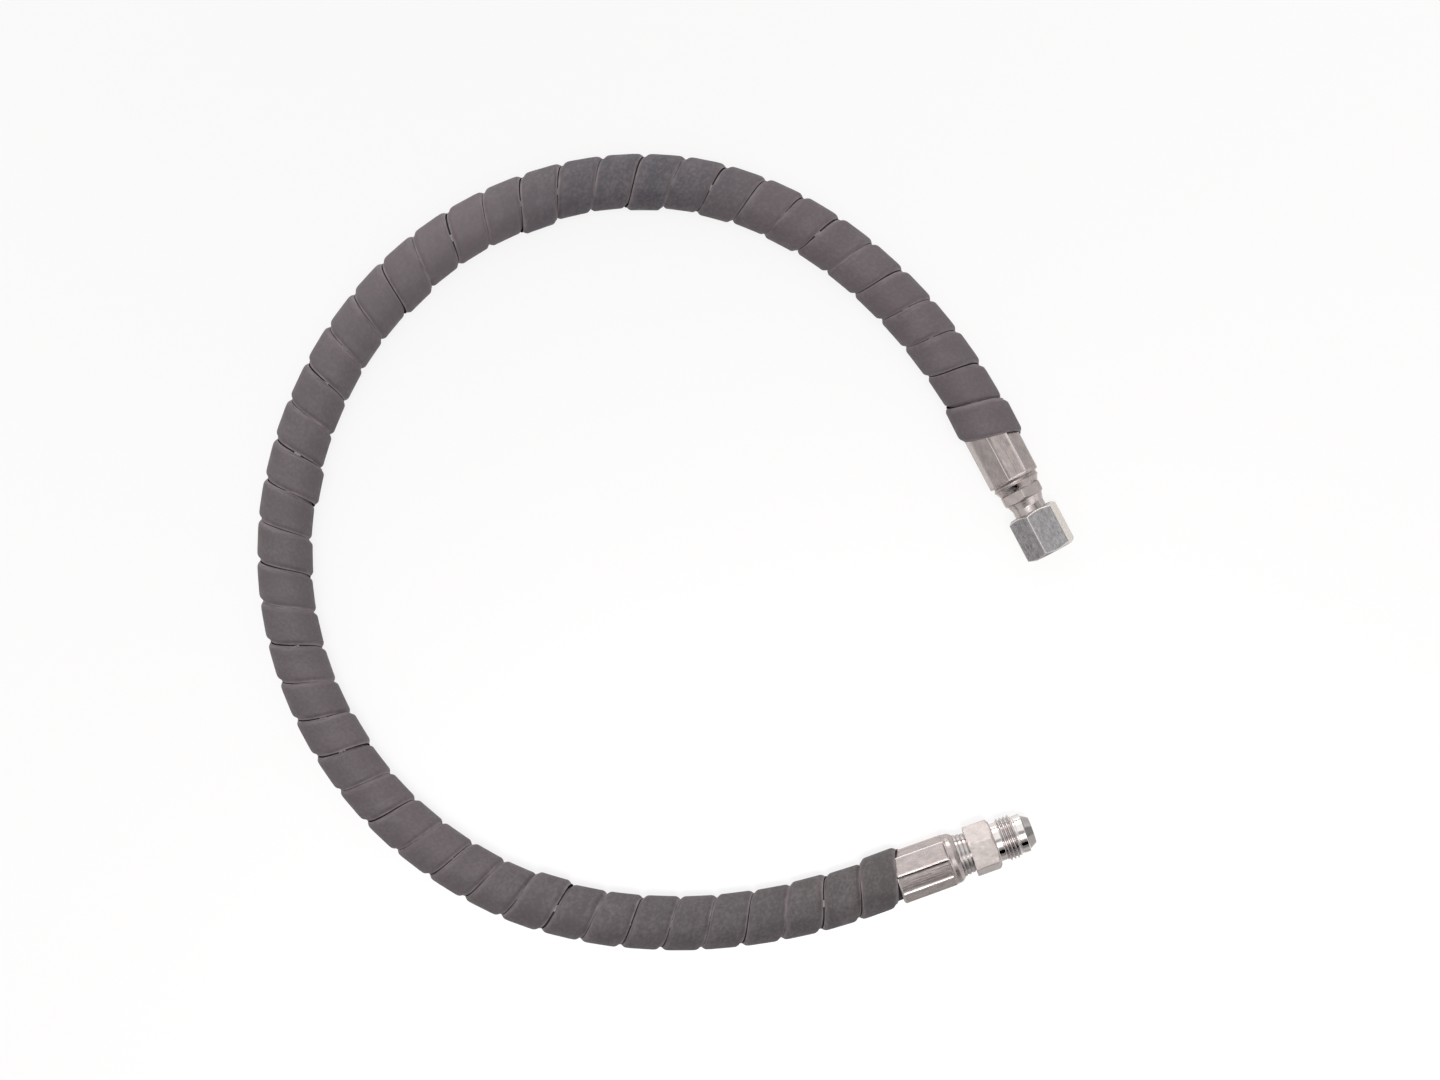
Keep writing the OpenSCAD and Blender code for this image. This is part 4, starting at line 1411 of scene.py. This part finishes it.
# A white wall and ceiling on one side, a second wall further off and a low window; and dark places:
# whoever leans over the table, a door high and low, and the far end of the room
ROOM = (
    Source(64, 45, 64, 78, 0.46),
    Source(-22, 14, 26, 64, 0.26),
    Source(84, 8, 12, 16, 2.4),
    Source(90, 79, 6, 12, -0.8),
    Source(8, 57, 9, 18, -0.66),
    Source(2, 26, 19, 29, -0.85),
    Source(-95, 12, 18, 36, -0.42),
    Source(-95, 40, 13, 24, -0.4),
)


@dataclass
class Studio:
    """A pale table under soft light, seen from straight above."""

    centre: tuple[float, float] = (-83.0, 177.8)
    camera_height: float = 2000.0
    camera_turn: float = -19.81
    lens: float = 106.4
    floor_size: float = 6000.0
    floor_colour: str = "#f6f5f4"
    # Share of its light that the table's smooth face mirrors, and how rough it is
    gloss: float = 0.5
    floor_roughness: float = 0.26
    # Share of white that the table adds where it is seen, and where metal reflects it
    glow_seen: float = 0.84
    glow_reflected: float = 0.12
    glow_colour: str = "#fffefe"
    room_level: float = 0.62
    room_colour: str = "#fffefd"
    # Azimuth and elevation of the lamp overhead, its distance, its width and its power
    lamp_way: tuple[float, float] = (-95.0, 73.0)
    lamp_distance: float = 3000.0
    lamp_size: float = 1120.0
    lamp_power: float = 12.0

    def camera(self) -> None:
        """Puts the camera over the middle of the C, so that the male fitting points up and right."""
        data = bpy.data.cameras.new("camera")
        data.lens, data.sensor_width = self.lens, 36.0
        data.clip_start, data.clip_end = 0.01, 50.0
        obj = link_object("camera", data)
        obj.location = Vector((*self.centre, self.camera_height)) * MM
        obj.rotation_euler = (0.0, 0.0, radians(self.camera_turn))
        bpy.context.scene.camera = obj
        bpy.context.scene.view_settings.view_transform = "Standard"

    def floor(self) -> None:
        """Lays the table, white where it is seen and shaded under the hose."""
        half, centre = self.floor_size / 2, Vector((*self.centre, FLOOR_Z))
        mesh = bpy.data.meshes.new("table_top")
        corners = [(centre + Vector((x * half, y * half, 0))) * MM
                   for x, y in ((-1, -1), (1, -1), (1, 1), (-1, 1))]
        mesh.from_pydata(corners, [], [(0, 1, 2, 3)])
        paint = bpy.data.materials.new("table_paper")
        paint.use_nodes = True
        tree = paint.node_tree
        tree.nodes.clear()
        p, rays = Pattern(tree), add_node(tree, "LightPath").outputs
        paper = add_node(tree, "BsdfPrincipled", {
            "Base Color": linear(self.floor_colour), "Metallic": self.gloss,
            "Roughness": self.floor_roughness,
        })
        glow = add_node(tree, "Emission", {"Color": linear(self.glow_colour), "Strength": 1.0})
        mirrored = p.math("MAXIMUM", rays["Is Glossy Ray"], rays["Is Transmission Ray"])
        mirrored = p.math("MULTIPLY", mirrored, self.glow_reflected)
        share = p.math("MULTIPLY_ADD", rays["Is Camera Ray"], self.glow_seen, mirrored)
        both = add_node(tree, "MixShader", links={0: share, 1: paper.outputs[0], 2: glow.outputs[0]})
        add_node(tree, "OutputMaterial", links={"Surface": both.outputs[0]})
        mesh.materials.append(paint)
        link_object("table_top", mesh)

    def sky(self) -> None:
        """Lights from all round, with the soft and hard sources that the room has."""
        world = bpy.data.worlds.new("studio_room")
        bpy.context.scene.world = world
        world.use_nodes = True
        tree = world.node_tree
        tree.nodes.clear()
        p, way = Pattern(tree), add_node(tree, "TexCoord").outputs["Generated"]
        level = self.room_level
        for source in ROOM:
            towards = direction(source.azimuth, source.elevation)
            near = add_node(tree, "VectorMath", {"operation": "DOT_PRODUCT", 1: towards}, {0: way})
            edge, core = cos(radians(source.edge)), cos(radians(source.core))
            glow = p.spread(near.outputs["Value"], 0.0, source.amount, edge, core, "SMOOTHSTEP")
            level = p.math("ADD", level, glow)
        light = add_node(tree, "Background", {"Color": linear(self.room_colour)}, {"Strength": level})
        add_node(tree, "OutputWorld", links={"Surface": light.outputs[0]})

    def lamp(self) -> None:
        """Hangs a round soft lamp over the table, which turned metal mirrors as a white patch."""
        data = bpy.data.lights.new("soft_lamp", "AREA")
        data.shape, data.size, data.energy = "DISK", self.lamp_size * MM, self.lamp_power
        data.color = linear(self.room_colour)[:3]
        way = Vector(direction(*self.lamp_way))
        obj = link_object("soft_lamp", data)
        obj.location = (Vector((*self.centre, 0.0)) + way * self.lamp_distance) * MM
        obj.rotation_euler = way.to_track_quat("Z", "Y").to_euler()

    def build(self) -> None:
        """Sets the studio up round the object, apart from its camera."""
        self.floor()
        self.sky()
        self.lamp()


def main() -> None:
    """Builds the object and the studio round it."""
    logging.basicConfig(level=logging.INFO, format="%(name)s: %(message)s")
    studio = Studio()
    studio.camera()
    route = Route()
    hose = Hose(route)
    layers = hose.build()
    guard = SpiralGuard(route).build()
    hose.declare(layers[0], [*layers[1:], guard])
    MaleEnd().build()
    SwivelEnd().build()
    studio.build()


if __name__ == "__main__":
    main()
